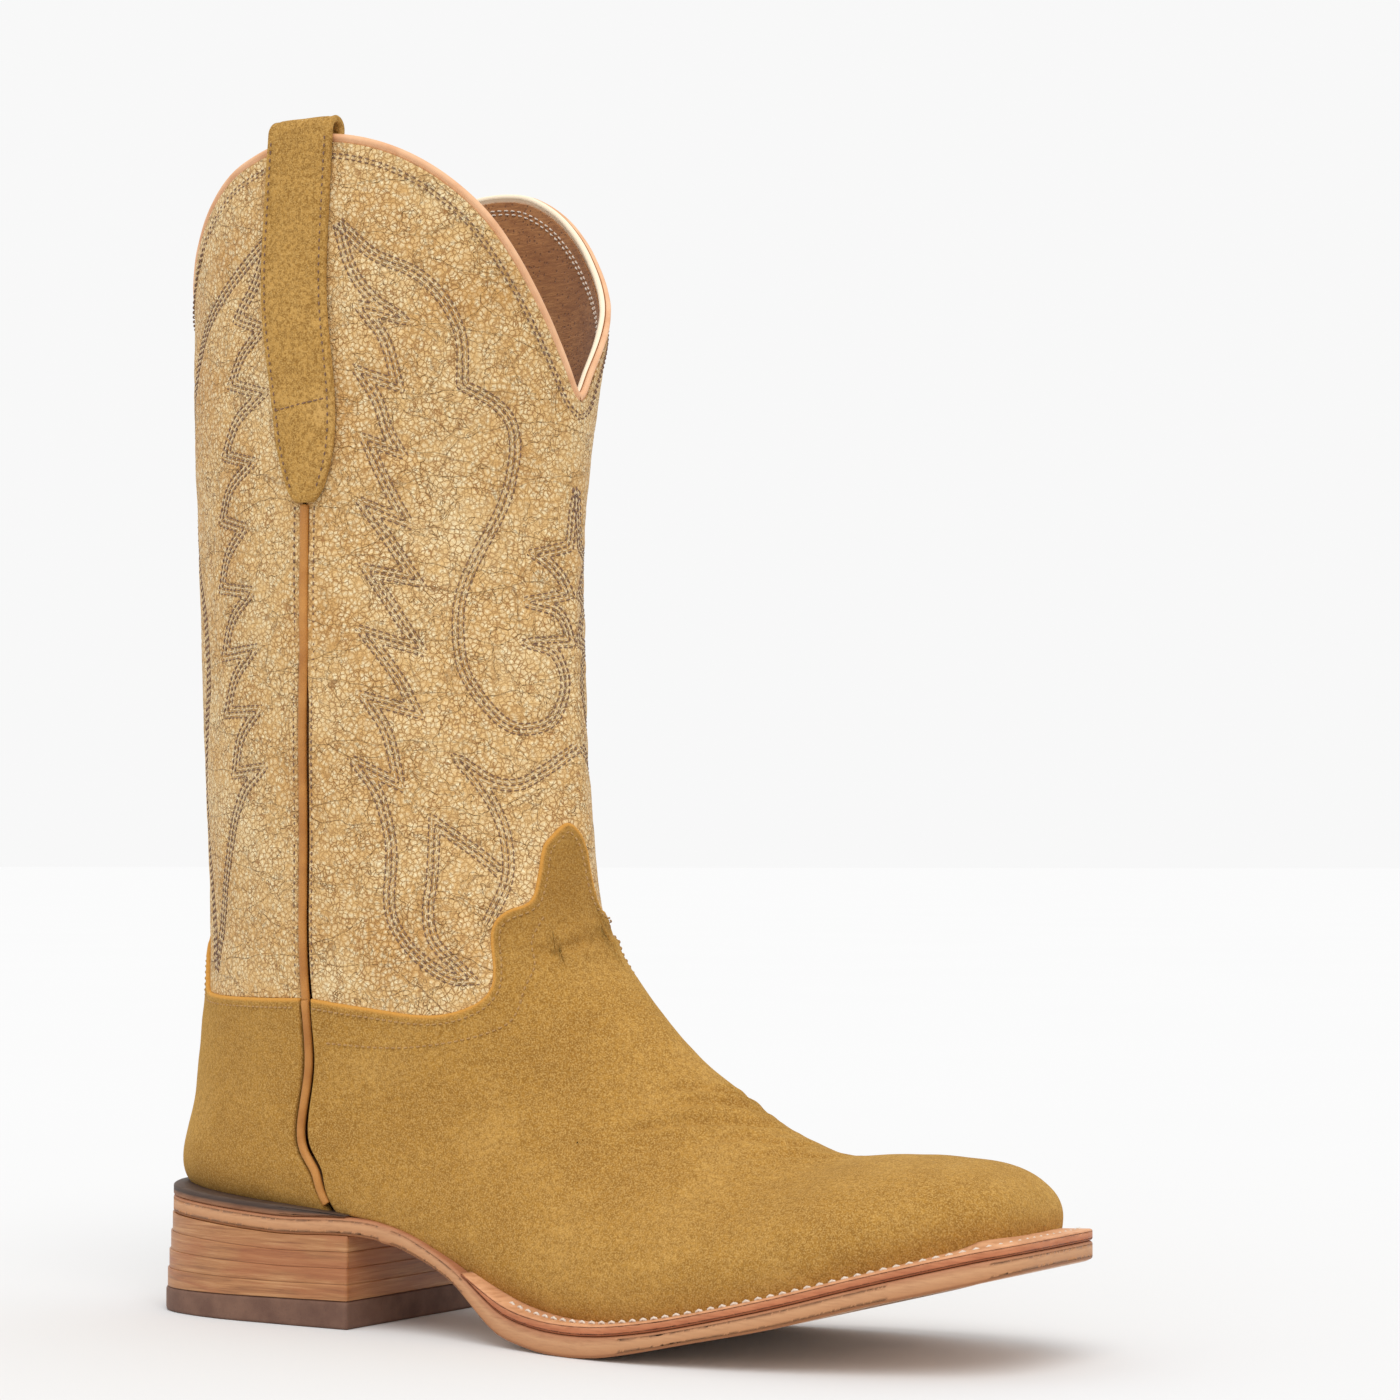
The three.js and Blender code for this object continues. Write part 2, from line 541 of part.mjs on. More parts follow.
function filler() {
  const body = prism(soleOutline(WELT_WIDTH + 2, 44)).intersect(band(above(outsoleTop, GAP), fillerTop));
  return body.intersect(room(INSOLE_PLAY)).subtract(shank(GAP)).subtract(nailHoles());
}

function nail([x, y], grow = 0) {
  const top = heelSeat(x) + OUTSOLE_THICK + GAP + NAIL_HEAD_THICK + grow;
  const neck = top - NAIL_HEAD_THICK - 2 * grow;
  const tip = NAIL_TIP - grow;
  const [thin, wide] = [NAIL_RADIUS + grow, NAIL_HEAD_RADIUS + grow];
  const points = [[0, tip], [thin, tip], [thin, neck], [wide, neck], [wide, top], [0, top]];
  const geometry = new THREE.LatheGeometry(points.map(([r, z]) => new THREE.Vector2(r, z)), 8);
  return toSolid(geometry.rotateX(Math.PI / 2).translate(x, y, 0));
}

function nailHoles() {
  return NAILS.map((place) => nail(place, GAP)).reduce((all, one) => all.add(one));
}

function welt() {
  const strip = prism(soleOutline()).subtract(prism(soleOutline(WELT_WIDTH, 44)));
  const forepart = block(WELT_BACK, 320, -90, 90, -10, 90);
  return strip.intersect(band(stripLow, seat)).intersect(forepart);
}

function rand() {
  const strip = prism(soleOutline()).subtract(prism(soleOutline(RAND_WIDTH, 44)));
  const heel = block(-20, HEEL_BREAST - 2, -90, 90, -10, 90);
  return strip.intersect(band(stripLow, seat)).intersect(heel);
}

function outsole() {
  const body = prism(soleOutline()).intersect(band(outsoleBottom, outsoleTop));
  return body.subtract(nailHoles());
}

// A heel layer between two shares of the way from the outsole down to the rubber cap.
function heelOutline(share) {
  const stretch = 1 + (HEEL_FLARE * share) / HEEL_BREAST;
  return soleOutline().map(([x, y]) => [HEEL_BREAST - (HEEL_BREAST - x) * stretch, y]);
}

function heelBlock(share) {
  return prism(heelOutline(share)).intersect(block(-30, HEEL_BREAST, -90, 90, -10, 90));
}

function heelLift(k) {
  const height = (share) => (x) => lerp(heelSeat(x) - GAP, capTop(x) + GAP, share);
  const low = above(height((k + 1) / HEEL_LIFTS), k + 1 < HEEL_LIFTS ? GAP / 2 : 0);
  const high = above(height(k / HEEL_LIFTS), k > 0 ? -GAP / 2 : 0);
  const slice = band(low, high, 8, HEEL_BREAST + 12);
  return heelBlock((k + 0.5) / HEEL_LIFTS).intersect(slice).subtract(nailHoles());
}

function heelCap() {
  return heelBlock(1.1).intersect(band(() => 0, capTop, 28, HEEL_BREAST + 12));
}

// ---- assembly ----
const group = new THREE.Group();

function add(name, leather, solid) {
  const { color, roughness, metalness = 0 } = LEATHERS[leather];
  const material = new THREE.MeshStandardMaterial({ color, roughness, metalness });
  const mesh = new THREE.Mesh(toGeometry(solid), material);
  mesh.name = name;
  group.add(mesh);
}

add('shaft_front', 'gold', shaftFront());
add('shaft_back', 'gold', shaftBack());
add('shaft_lining_front', 'lining', shaftLining(FRONT, beforeSeam(-1), beforeSeam(1)));
add('shaft_lining_back', 'lining', shaftLining(BACK, behindSeam(1), behindSeam(-1)));
add('vamp', 'suede', vamp());
add('vamp_lining', 'lining', vampLining());
add('toe_box', 'board', toeBox());
add('heel_cover', 'suede', heelCover());
add('heel_lining', 'lining', heelLining());
add('heel_stiffener', 'board', heelStiffener());
for (const [name, side, strap] of [['lateral', 1, STRAP_LATERAL], ['medial', -1, STRAP_MEDIAL]]) {
  add(`piping_${name}`, 'piping', piping(side));
  add(`pull_strap_${name}`, 'suede', pullStrap(side, strap));
}
const turn = BINDING_JOIN_DEG;
add('binding_front', 'binding', binding(turn - SEAM_TOP_MEDIAL, SEAM_TOP_LATERAL - turn));
add('binding_back', 'binding', binding(SEAM_TOP_LATERAL + turn, 360 - SEAM_TOP_MEDIAL - turn));
add('insole', 'board', insole());
add('footbed', 'lining', footbed());
add('shank', 'steel', shank());
add('bottom_filler', 'cork', filler());
add('welt', 'welt', welt());
add('heel_rand', 'rand', rand());
add('outsole', 'sole', outsole());
for (let k = 0; k < HEEL_LIFTS; k += 1) add(`heel_lift_${k + 1}`, 'stack', heelLift(k));
add('heel_cap', 'rubber', heelCap());
NAILS.forEach((place, k) => add(`heel_nail_${k + 1}`, 'steel', nail(place)));

const box = new THREE.Box3().setFromObject(group);
const middle = box.getCenter(new THREE.Vector3());
group.position.set(-middle.x, -middle.y, -box.min.z);
group.updateMatrixWorld(true);

export default group;
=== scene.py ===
"""Looks of a western boot: crackled gold shaft with row stitching, suede foot, welted sole, stacked heel.

Shapes are worked out in millimetres in the boot's own frame: x runs from the back of the heel to the toe,
the outer side is at -y and z is up from the ground. in_frame() shifts them into the row frame, in metres.
Angles run round the boot in degrees: 0 is the front, 90 the outer side, 180 the back.
"""
import math

import bpy
import numpy as np
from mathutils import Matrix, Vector


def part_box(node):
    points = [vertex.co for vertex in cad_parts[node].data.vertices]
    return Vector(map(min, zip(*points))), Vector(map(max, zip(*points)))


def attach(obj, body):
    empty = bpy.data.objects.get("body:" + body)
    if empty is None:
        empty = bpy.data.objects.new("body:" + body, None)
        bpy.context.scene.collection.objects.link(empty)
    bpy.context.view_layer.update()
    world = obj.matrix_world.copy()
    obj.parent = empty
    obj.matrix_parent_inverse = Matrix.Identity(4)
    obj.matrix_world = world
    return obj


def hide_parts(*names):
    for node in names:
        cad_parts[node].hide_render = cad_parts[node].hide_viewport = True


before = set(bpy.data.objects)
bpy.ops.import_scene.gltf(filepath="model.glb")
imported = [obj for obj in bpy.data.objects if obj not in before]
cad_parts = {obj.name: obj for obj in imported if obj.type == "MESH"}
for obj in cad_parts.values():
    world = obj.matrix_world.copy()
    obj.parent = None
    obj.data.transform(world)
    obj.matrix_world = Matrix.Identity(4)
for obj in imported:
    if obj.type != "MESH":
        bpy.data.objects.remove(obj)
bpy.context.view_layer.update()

# ---- driving dimensions, in millimetres, the same as the CAD's ----
MM = 0.001
HEEL_BREAST = 84
SHAFT_LEATHER = 1.8
FOOT_LEATHER = 2.2
FOOT_PROUD = 1.0  # how far the foot leathers stand above the shaft leather that they overlap
LINING_DEPTH = 2.1
LINING = 1.2
PIPING_RADIUS = 1.35
PIPING_TOP = 239.5
SEAM_HALF_SLOT = 1.6  # degrees
BINDING_LIFT = 0.9
BEAD = 0.95  # radius of each of the binding's two beads
BEAD_PLACE = 0.82  # from the middle of the edge to the middle of a bead
BINDING_JOIN = 0.2  # degrees between the end of a binding and the side seam
STRAP_THICK = 2.2
STRAP_GAP = 0.3
STRAP_TIP = 240
STRAP_INNER_END = 296
STRAP_CROSS = 268.6  # height of the row of stitches across the strap
STRAP_SLANT = 1.7
STRAP_OUTSIDE = -STRAP_GAP - STRAP_THICK
STRAP_INSIDE = SHAFT_LEATHER + LINING + 3 * STRAP_GAP
STRAP_RADIUS = (STRAP_INSIDE + STRAP_THICK - STRAP_OUTSIDE) / 2
SHAFT_TOP = 355.9  # just under the highest ring of the upper
WELT_THICK = 2.9
WELT_BACK = 128
WELT_WIDTH = 13
RAND_WIDTH = 9
OUTSOLE_THICK = 5.2
GROOVE_DEPTH = 0.7
GROOVE_INSET = 7.5
HEEL_LIFTS = 4
HEEL_FLARE = 2.7
CAP_BACK = 7
CAP_RISE = 1.2
LAYER_GAP = 0.3
WAIST = 96
SEAT_LAP = 0.4  # how far the upper reaches below the top of the welt

# ---- mesh sizes, in millimetres ----
FINE_CELL = 0.95
LINING_CELL = 2.2

# ---- camera, light and floor ----
CAMERA_PLACE = (732.2, -897.6, 136.0)
CAMERA_TURN = (92.5, 0, 31.5)  # degrees
CAMERA_LENS = 94.63
CAMERA_SENSOR = 36
SUN_DIRECTION = (0.6, -0.9, 1.5)
SUN_SPREAD = 40  # degrees
SUN_STRENGTH = 1.3
WORLD_TONE = 0.94
FLOOR_TONE = 0.757  # keeps the lit floor as bright as the backdrop
FLOOR_SIZE = 60.0  # metres

# ---- stitching ----
THREAD_ROWS = [(-1.64, "brown"), (-0.82, "cream"), (0, "brown"), (0.82, "cream"), (1.64, "brown")]
PATTERN_PITCH = 2.1
PATTERN_THREAD = 0.26
PRESS_DEPTH = 0.36  # how deep a band of stitches presses the leather
PRESS_REACH = 2.5
TOPLINE_ROWS = (3.4, 4.6)  # distances of rows of stitches from an edge
SEAM_ROWS = (3.4, 3.2)
FOOT_ROW = 2.6
LINING_ROWS = (2.8, 4.0)
WELT_ROW = 3.4
WELT_PITCH = 3.6
WELT_SEAM_START = 144
STRAP_ROW = 1.7

# Stations of the upper: one slanted ring each. Front point x z, back point x z, half width outside and
# inside, where between back and front it is widest, roundness of its front and back half (2 is an ellipse).
STATIONS = np.array([
    [149, 356, 6, 356, 50, 53, 0.5, 2.1, 2],
    [143.5, 300, 7, 300, 50, 51.5, 0.5, 2.05, 2],
    [140, 240, 8.5, 240, 48, 47, 0.5, 1.6, 2],
    [140.5, 190, 10, 186, 45, 44, 0.5, 1.6, 2],
    [143, 150, 11, 138, 41, 40, 0.5, 1.65, 2],
    [147.5, 118, 10, 100, 38, 37, 0.48, 1.8, 2],
    [162, 96.5, 6.5, 66, 35, 34, 0.45, 1.9, 2.2],
    [180, 79, 5, 38, 34, 33, 0.4, 1.9, 2.4],
    [196, 68, 50, 28, 34, 33, 0.36, 1.9, 3],
    [210, 59.5, 110, 14, 38, 34, 0.33, 1.9, 3],
    [228, 53, 172, 0, 46, 37, 0.33, 2, 3],
    [248, 54, 222, 7, 47, 39, 0.33, 2.1, 3],
    [265, 54, 253, 16, 40, 35, 0.34, 2.3, 3],
    [276.5, 52.5, 272.5, 23, 32, 28, 0.36, 2.5, 3],
    [285.5, 48, 283.5, 29, 23, 21, 0.4, 2.5, 3],
    [289.5, 43, 288.5, 33, 14, 13, 0.45, 2.5, 2.5],
    [290.5, 38, 290.5, 38, 0, 0, 0.5, 2.5, 2.5],
])
TOE_TIP = len(STATIONS) - 1
FULL_FOOT = 10  # station from which the vamp goes right round the foot

SIDES = {"lateral": 1, "medial": -1}
# Curves are lists of [position, value]. Where the two sides differ there is one for each.
SEAM_TOP = {1: 87, -1: 112}  # angle of the side seam at the top, by side: 1 is the outer one
SEAM_FOOT = [[5, 96], [6, 94.5], [7, 94.5], [7.5, 98], [8, 112], [8.5, 133], [9, 154], [9.6, 168],
             [10.5, 172], [TOE_TIP, 172]]
SIDE_SEAM = {  # angle of the seam by station
    1: [[0, SEAM_TOP[1]], [1, 88], [2, 86], [3, 91], [4, 95]] + SEAM_FOOT,
    -1: [[0, SEAM_TOP[-1]], [1, 111], [2, 107], [3, 102], [4, 98]] + SEAM_FOOT,
}
TOPLINE_BACK = [[150, 307], [165, 300.5], [180, 298]]
TOPLINE = {  # height by angle
    1: [[0, 270], [5, 272.3], [10, 279], [20, 294], [30, 308], [40, 320], [50, 329], [60, 336], [70, 341],
        [80, 344], [90, 345], [96, 344], [105, 341.5], [115, 337.5], [125, 330.5],
        [135, 321.5]] + TOPLINE_BACK,
    -1: [[0, 270], [5, 272.3], [10, 279], [20, 289], [30, 298], [40, 306], [50, 315], [60, 325], [70, 334],
         [80, 340.5], [87, 342.5], [95, 342.5], [105, 340], [115, 335.5], [125, 329],
         [135, 321]] + TOPLINE_BACK,
}
VAMP_EDGE = {  # height by angle; the tongue points a little to the outer side
    1: [[0, 131], [1, 135.5], [2.5, 139], [5, 142.5], [8.5, 145.2], [12.5, 147], [16, 146.2], [20, 143.5],
        [24, 139.5], [26, 132], [29, 125], [38, 121], [42.5, 116], [45, 106], [48, 99.5], [54, 94.5],
        [64, 91.5], [79, 93.5], [96, 96]],
    -1: [[0, 131], [2, 125.5], [5.5, 122], [12, 120.5], [17, 116], [20, 106], [23, 99.5], [29, 94.5],
         [39, 91.5], [56, 93], [96, 96]],
}
COUNTER_EDGE = [[90, 96], [112, 95.5], [140, 96], [148, 98], [154, 106], [165, 113], [180, 118]]
LINING_EDGE = [[0, 128], [50, 104], [96, 94], [180, 94]]
SEAT = [[0, 38.7], [40, 36], [84, 33], [104, 29.5], [123, 22], [144, 12.8], [160, 9.8], [178, 9.5],
        [195, 11.5], [212, 14.8], [236, 20.5], [260, 27], [287, 33.8], [300, 36.5]]  # height by x
TREAD = [[WAIST, 25.8], [104, 24.3], [123, 17], [141, 4.5], [155, 1], [168, 0], [180, 0.6], [190, 2.2],
         [210, 6.4], [236, 12], [260, 18.5], [287, 25], [300, 28.5]]
SOLE_OUTLINE = [(1.5, 0), (3, -13), (13, -27), (34, -34), (60, -35.5), (84, -36), (105, -37), (135, -43),
                (165, -51), (195, -55), (225, -54), (255, -49), (278, -42), (291, -35), (297, -24),
                (298.5, -8), (298.5, 8), (296.5, 18), (290, 28), (276, 36), (255, 43), (225, 46), (200, 44),
                (165, 38), (130, 33), (105, 32), (84, 33), (60, 34), (34, 32), (13, 26), (3, 13)]
STRAP_CENTRE = {  # x of the strap by height
    1: [[STRAP_TIP, 77.5], [256, 77.6], [271, 77.1], [300, 74.5], [330, 75.7], [356, 77.3]],
    -1: [[STRAP_TIP, 55], [300, 51], [356, 50.5]],
}
STRAP_HALF = [[240, 2.6], [241.5, 4.2], [245, 6.1], [256, 9.2], [271, 10.7], [300, 11.5], [356, 11.3]]
STRAP_ARCH_FOOT = {1: 348.3, -1: 345}  # height at which the strap starts to turn over the edge

# Stitch patterns on one side of the shaft, as (angle, height). Each chain is a list of strokes: a stroke is
# a smooth line, it starts where the one before it ends, and the chain turns a sharp corner there.
FRONT_WAVE = [
    [(80, 321), (70, 311), (58, 305), (49.5, 296.5), (44.5, 286), (43.5, 273)],
    [(34, 268), (29, 262), (28, 254), (30, 243), (33, 235), (39, 223), (43, 212), (44, 201), (43, 191),
     (39, 183), (33, 176), (26, 174), (16, 177), (10, 185), (10, 191), (15, 197), (24, 199)],
    [(5, 200)], [(12, 208), (24, 211)], [(6, 214)], [(14, 221), (21, 225)], [(6, 228)], [(4, 236), (0, 246)],
]
FRONT_FLAME = [
    [(80, 321), (76, 308), (70, 299), (61, 292)], [(72.5, 296)], [(65, 286), (60.5, 273)], [(71, 277)],
    [(65.5, 269), (62, 260), (58.5, 254)], [(67.5, 257.5)], [(61, 244), (56, 234)], [(67, 239)],
    [(60, 228), (54, 217)], [(66, 220)], [(60, 209), (54, 197)], [(68, 202)], [(60, 189), (56, 179)],
    [(69, 183)], [(64, 173), (62, 158)], [(73, 164)],
    [(68, 155), (66, 140), (68, 122), (65, 112), (60, 105), (56, 102), (52, 102)],
    [(54, 106), (58, 113), (58, 122), (56, 131), (54, 147)], [(48, 142), (42, 137), (37, 132)],
]
FRONT_CREST = [
    [(43, 118), (36, 130), (35, 141), (37, 150), (41, 158), (46, 165)],
    [(38, 159), (30, 158), (21, 162), (10, 167), (0, 170)],
]
BACK_WAVE = [
    [(100, 318), (113, 308), (128, 296), (140, 282), (147, 268), (150, 252), (150, 236), (144, 220),
     (138, 206), (137, 190), (142, 175), (148, 160), (149, 145), (146, 128), (141, 103)],
]
BACK_FLAME = [
    [(100, 318), (104, 307), (112, 296)], [(102, 292)], [(110, 285), (115, 277)], [(102, 273)],
    [(112, 266), (118, 256)], [(106, 253)], [(116, 246), (121, 237)], [(110, 234)], [(119, 226), (123, 217)],
    [(108, 215)], [(118, 207), (123, 197)], [(109, 198)], [(118, 190), (123, 180)], [(109, 180)],
    [(117, 172), (121, 162)], [(109, 163)], [(119, 154), (128, 136), (138, 110), (141, 101)],
]
VAMP_ROW = [[(26, 120), (32, 113), (34, 106), (40, 99), (45, 92), (50, 88), (61, 84), (74, 82), (90, 83)]]

cap_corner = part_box("heel_cap")[1]
shank_low, shank_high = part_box("shank")
SHIFT = np.array([cap_corner.x / MM - HEEL_BREAST, (shank_low.y + shank_high.y) / 2 / MM, 0.0])


def in_frame(points):
    return (np.asarray(points, float) + SHIFT) * MM


# ---- curves ----
def follow(table, x):
    """Smooth value of a list of [position, value], with the slopes of its neighbours at each point."""
    px, py = np.array(table, float).T
    slope = np.empty(len(px))
    slope[1:-1] = (py[2:] - py[:-2]) / (px[2:] - px[:-2])
    slope[0] = (py[1] - py[0]) / (px[1] - px[0])
    slope[-1] = (py[-1] - py[-2]) / (px[-1] - px[-2])
    x = np.clip(x, px[0], px[-1])
    i = np.clip(np.searchsorted(px, x, side="right") - 1, 0, len(px) - 2)
    h = px[i + 1] - px[i]
    u = (x - px[i]) / h
    rise = py[i + 1] - py[i]
    bend = (1 - u) * (slope[i] * h - rise) + u * (rise - slope[i + 1] * h)
    return py[i] + u * rise + u * (1 - u) * bend


def smoothstep(x, low, high):
    u = np.clip((x - low) / (high - low), 0, 1)
    return u * u * (3 - 2 * u)


def lerp(a, b, u):
    return a + (b - a) * u


def curved(p0, p1, p2, p3, u):
    """Catmull-Rom curve from p1 to p2."""
    return 0.5 * (2 * p1 + (p2 - p0) * u + (2 * p0 - 5 * p1 + 4 * p2 - p3) * u**2
                  + (3 * p1 - p0 - 3 * p2 + p3) * u**3)


def run_on(points):
    """The points with one more at each end, straight on."""
    return np.concatenate([2 * points[:1] - points[1:2], points, 2 * points[-1:] - points[-2:-1]])


def unit(v):
    return v / np.maximum(np.linalg.norm(v, axis=-1, keepdims=True), 1e-9)


def catmull(points, steps, closed=False):
    """Points along a smooth curve through the given points, in any number of dimensions."""
    p = np.array(points, float)
    q = np.concatenate([p[-1:], p, p[:2]]) if closed else run_on(p)
    u = (np.arange(steps) / steps)[None, :, None]
    curve = curved(*(q[k:len(q) - 3 + k, None] for k in range(4)), u).reshape(-1, p.shape[1])
    return curve if closed else np.concatenate([curve, p[-1:]])


def lengths(points):
    return np.concatenate([[0], np.cumsum(np.linalg.norm(np.diff(points, axis=0), axis=1))])


def resample(points, places):
    along = lengths(points)
    return np.stack([np.interp(places, along, c) for c in points.T], axis=1)


# ---- the upper's outer surface ----
def station(t):
    t = np.asarray(t, float)
    rows = run_on(STATIONS)
    i = np.clip(np.floor(t).astype(int), 0, TOE_TIP - 1)
    ring = curved(*(rows[i + k] for k in range(4)), (t - i)[..., None])
    return np.moveaxis(ring, -1, 0)


def skin(t, deg):
    t, deg = np.broadcast_arrays(np.asarray(t, float), np.asarray(deg, float))
    fx, fz, bx, bz, outer, inner, share, nf, nb = station(t)
    c, s = np.cos(np.radians(deg)), np.sin(np.radians(deg))
    n = np.where(c >= 0, nf, nb)
    along = np.abs(c) ** (2 / n)
    across = np.abs(s) ** (2 / n)
    cx, cz = lerp(bx, fx, share), lerp(bz, fz, share)
    ex, ez = np.where(c >= 0, fx, bx), np.where(c >= 0, fz, bz)
    y = -np.sign(s) * across * np.where(s >= 0, outer, inner)
    return np.stack([cx + (ex - cx) * along, y, cz + (ez - cz) * along], axis=-1)


def inward(t, deg):
    t, deg = np.broadcast_arrays(np.asarray(t, float), np.asarray(deg, float))
    t = np.minimum(t, TOE_TIP - 0.05)
    down = skin(t + 0.02, deg) - skin(np.maximum(t - 0.02, 0), deg)
    turn = skin(t, deg + 1.5) - skin(t, deg - 1.5)
    return unit(np.cross(down, turn))


def under(t, deg, depth):
    """Points under the skin: positive depth is into the boot."""
    return skin(t, deg) + np.asarray(depth, float)[..., None] * inward(t, deg)


def bisect(above, low, high, shape, rounds=28):
    """Where above(t), true at low and false at high, changes."""
    low, high = np.full(shape, float(low)), np.full(shape, float(high))
    for _ in range(rounds):
        middle = (low + high) / 2
        up = above(middle)
        low, high = np.where(up, middle, low), np.where(up, high, middle)
    return (low + high) / 2


def fold(deg):
    """Angle from the front, the same on both sides."""
    return np.abs((deg + 540) % 360 - 180)


def station_at(z, deg):
    z, deg = np.broadcast_arrays(np.asarray(z, float), np.asarray(deg, float))
    return bisect(lambda t: skin(t, deg)[..., 2] > z, 0, 8, z.shape)


def seat(x):
    return follow(SEAT, x)


def seam_angle(t, side=1):
    return follow(SIDE_SEAM[side], t)


def edge_height(curve, deg):
    """Height of an edge at an angle, from one table or from a table for each side."""
    if isinstance(curve, dict):
        outer, inner = (follow(curve[side], fold(deg)) for side in (1, -1))
        return np.where(np.sin(np.radians(deg)) >= 0, outer, inner)
    return follow(curve, fold(deg))


def slot(t):
    """Half slot at the side seam: closed under the pull strap, open for the piping below it."""
    return lerp(0.3, SEAM_HALF_SLOT, smoothstep(t, 1.985, 2.03))


def reach_table():
    """Angle at which the foot meets the sole, by station."""
    t = np.linspace(0, TOE_TIP, 801)
    def above(deg):
        p = skin(t, deg)
        return p[:, 2] > seat(p[:, 0]) - SEAT_LAP
    ground = bisect(above, 60, 180, t.shape)
    seam = seam_angle(t) - slot(t)
    return t, np.where(t < FULL_FOOT, np.minimum(seam, ground), ground)


REACH = reach_table()
PACE_T = np.linspace(0, TOE_TIP, 1601)
PACE = np.mean([lengths(skin(PACE_T, deg)) for deg in (0, 50, 90)], axis=0)


# ---- noise ----
def noise(points, cell, seed):
    """Smooth noise from -1 to 1 with features of about the size of a cell."""
    q = points / cell
    base = np.floor(q).astype(np.int64)
    f = q - base
    w = f * f * (3 - 2 * f)
    total = np.zeros(points.shape[:-1])
    for corner in np.ndindex(2, 2, 2):
        a, b, c = np.moveaxis(base + corner, -1, 0)
        h = a * 73856093 ^ b * 19349663 ^ c * 83492791 ^ seed * 2654435761
        h = (h ^ h >> 13) * 1274126177 & 0x7FFFFFFF
        weight = np.prod(np.where(np.array(corner) > 0, w, 1 - w), axis=-1)
        total += weight * ((h & 0xFFFF) / 32767.5 - 1)
    return total


def waves(points, cell, seed):
    return noise(points, cell, seed) + 0.5 * noise(points, cell / 2, seed + 1)


def wrinkles(points, cell, width, seed):
    """Narrow winding lines, 1 in the middle of each."""
    return np.exp(-((noise(points, cell, seed) + 0.4 * noise(points, cell / 3, seed + 1)) / width) ** 2)


def distance(points, line, chunk=4000):
    """Distance of each point to a polyline."""
    a, d = line[:-1], np.diff(line, axis=0)
    dd = np.maximum((d * d).sum(1), 1e-12)
    flat = points.reshape(-1, 3)
    found = np.empty(len(flat))
    for k in range(0, len(flat), chunk):
        p = flat[k:k + chunk]
        u = np.clip((p @ d.T - (a * d).sum(1)) / dd, 0, 1)
        gap2 = ((p * p).sum(1)[:, None] - 2 * (p @ a.T - u * (a * d).sum(1)) - 2 * u * (p @ d.T)
                + (a * a).sum(1) + u * u * dd)
        found[k:k + chunk] = gap2.min(1)
    return np.sqrt(np.maximum(found, 0)).reshape(points.shape[:-1])


# ---- meshes ----
def add_mesh(name, points, faces, look, replaces=()):
    """One piece of the boot, from points in millimetres."""
    mesh = bpy.data.meshes.new(name)
    mesh.from_pydata(in_frame(points).tolist(), [], faces)
    mesh.validate()
    mesh.polygons.foreach_set("use_smooth", [True] * len(mesh.polygons))
    mesh.materials.append(look)
    piece = bpy.data.objects.new(name, mesh)
    bpy.context.scene.collection.objects.link(piece)
    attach(piece, "root")
    if replaces:
        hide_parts(*replaces)
    return piece


def mark(piece, label, values):
    """A number at each point of a piece, for its material."""
    piece.data.attributes.new(label, "FLOAT", "POINT").data.foreach_set("value", values.astype(np.float32))


def grid_faces(rows, columns, first=0, flip=False, cyclic=False):
    i, j = np.meshgrid(np.arange(rows - 1), np.arange(columns if cyclic else columns - 1), indexing="ij")
    k = (j + 1) % columns
    corners = [i * columns + j, i * columns + k, (i + 1) * columns + k, (i + 1) * columns + j]
    quads = np.stack(corners, axis=-1).reshape(-1, 4) + first
    return (quads[:, ::-1] if flip else quads).tolist()


def rod_faces(rows, columns, flip):
    """Faces round a rod of rings, with its two ends."""
    step = -1 if flip else 1
    near = list(range(columns))
    far = [(rows - 1) * columns + k for k in near]
    return grid_faces(rows, columns, cyclic=True, flip=flip) + [near[::-step], far[::step]]


def closed_sheet(outer, inner):
    """Points and faces of a closed sheet: a fine outer grid, and an inner grid of every second point."""
    rows, columns = outer.shape[:2]
    half_rows, half_columns = (rows + 1) // 2, (columns + 1) // 2
    points = np.concatenate([outer.reshape(-1, 3), inner[::2, ::2].reshape(-1, 3)])
    first = rows * columns
    faces = grid_faces(rows, columns, flip=True) + grid_faces(half_rows, half_columns, first)
    fine = np.arange(rows * columns).reshape(rows, columns)
    coarse = first + np.arange(half_rows * half_columns).reshape(half_rows, half_columns)
    def close_edge(outside, inside, turn):
        for k in range(len(inside) - 1):
            face = outside[2 * k:2 * k + 3].tolist() + [int(inside[k + 1]), int(inside[k])]
            faces.append(face[::turn])
    for side, turn in ((0, 1), (-1, -1)):
        close_edge(fine[side], coarse[side], turn)
        close_edge(fine[:, side], coarse[:, side], -turn)
    return points, faces


EDGE_STEPS = np.array([0, 0.1, 0.25, 0.45, 0.75, 1.2])


def stepped(total, cell, near_end=True):
    """Shares from 0 to 1 of a length, in even cells, with finer steps at its edges."""
    tail = total - EDGE_STEPS[::-1] if near_end else np.array([total])
    last = tail[0]
    count = max(int((last - EDGE_STEPS[-1]) / cell), 2)
    count += (count + len(EDGE_STEPS) + len(tail)) % 2
    middle = np.linspace(EDGE_STEPS[-1], last, count + 1)[1:-1]
    return np.concatenate([EDGE_STEPS, middle, tail]) / total


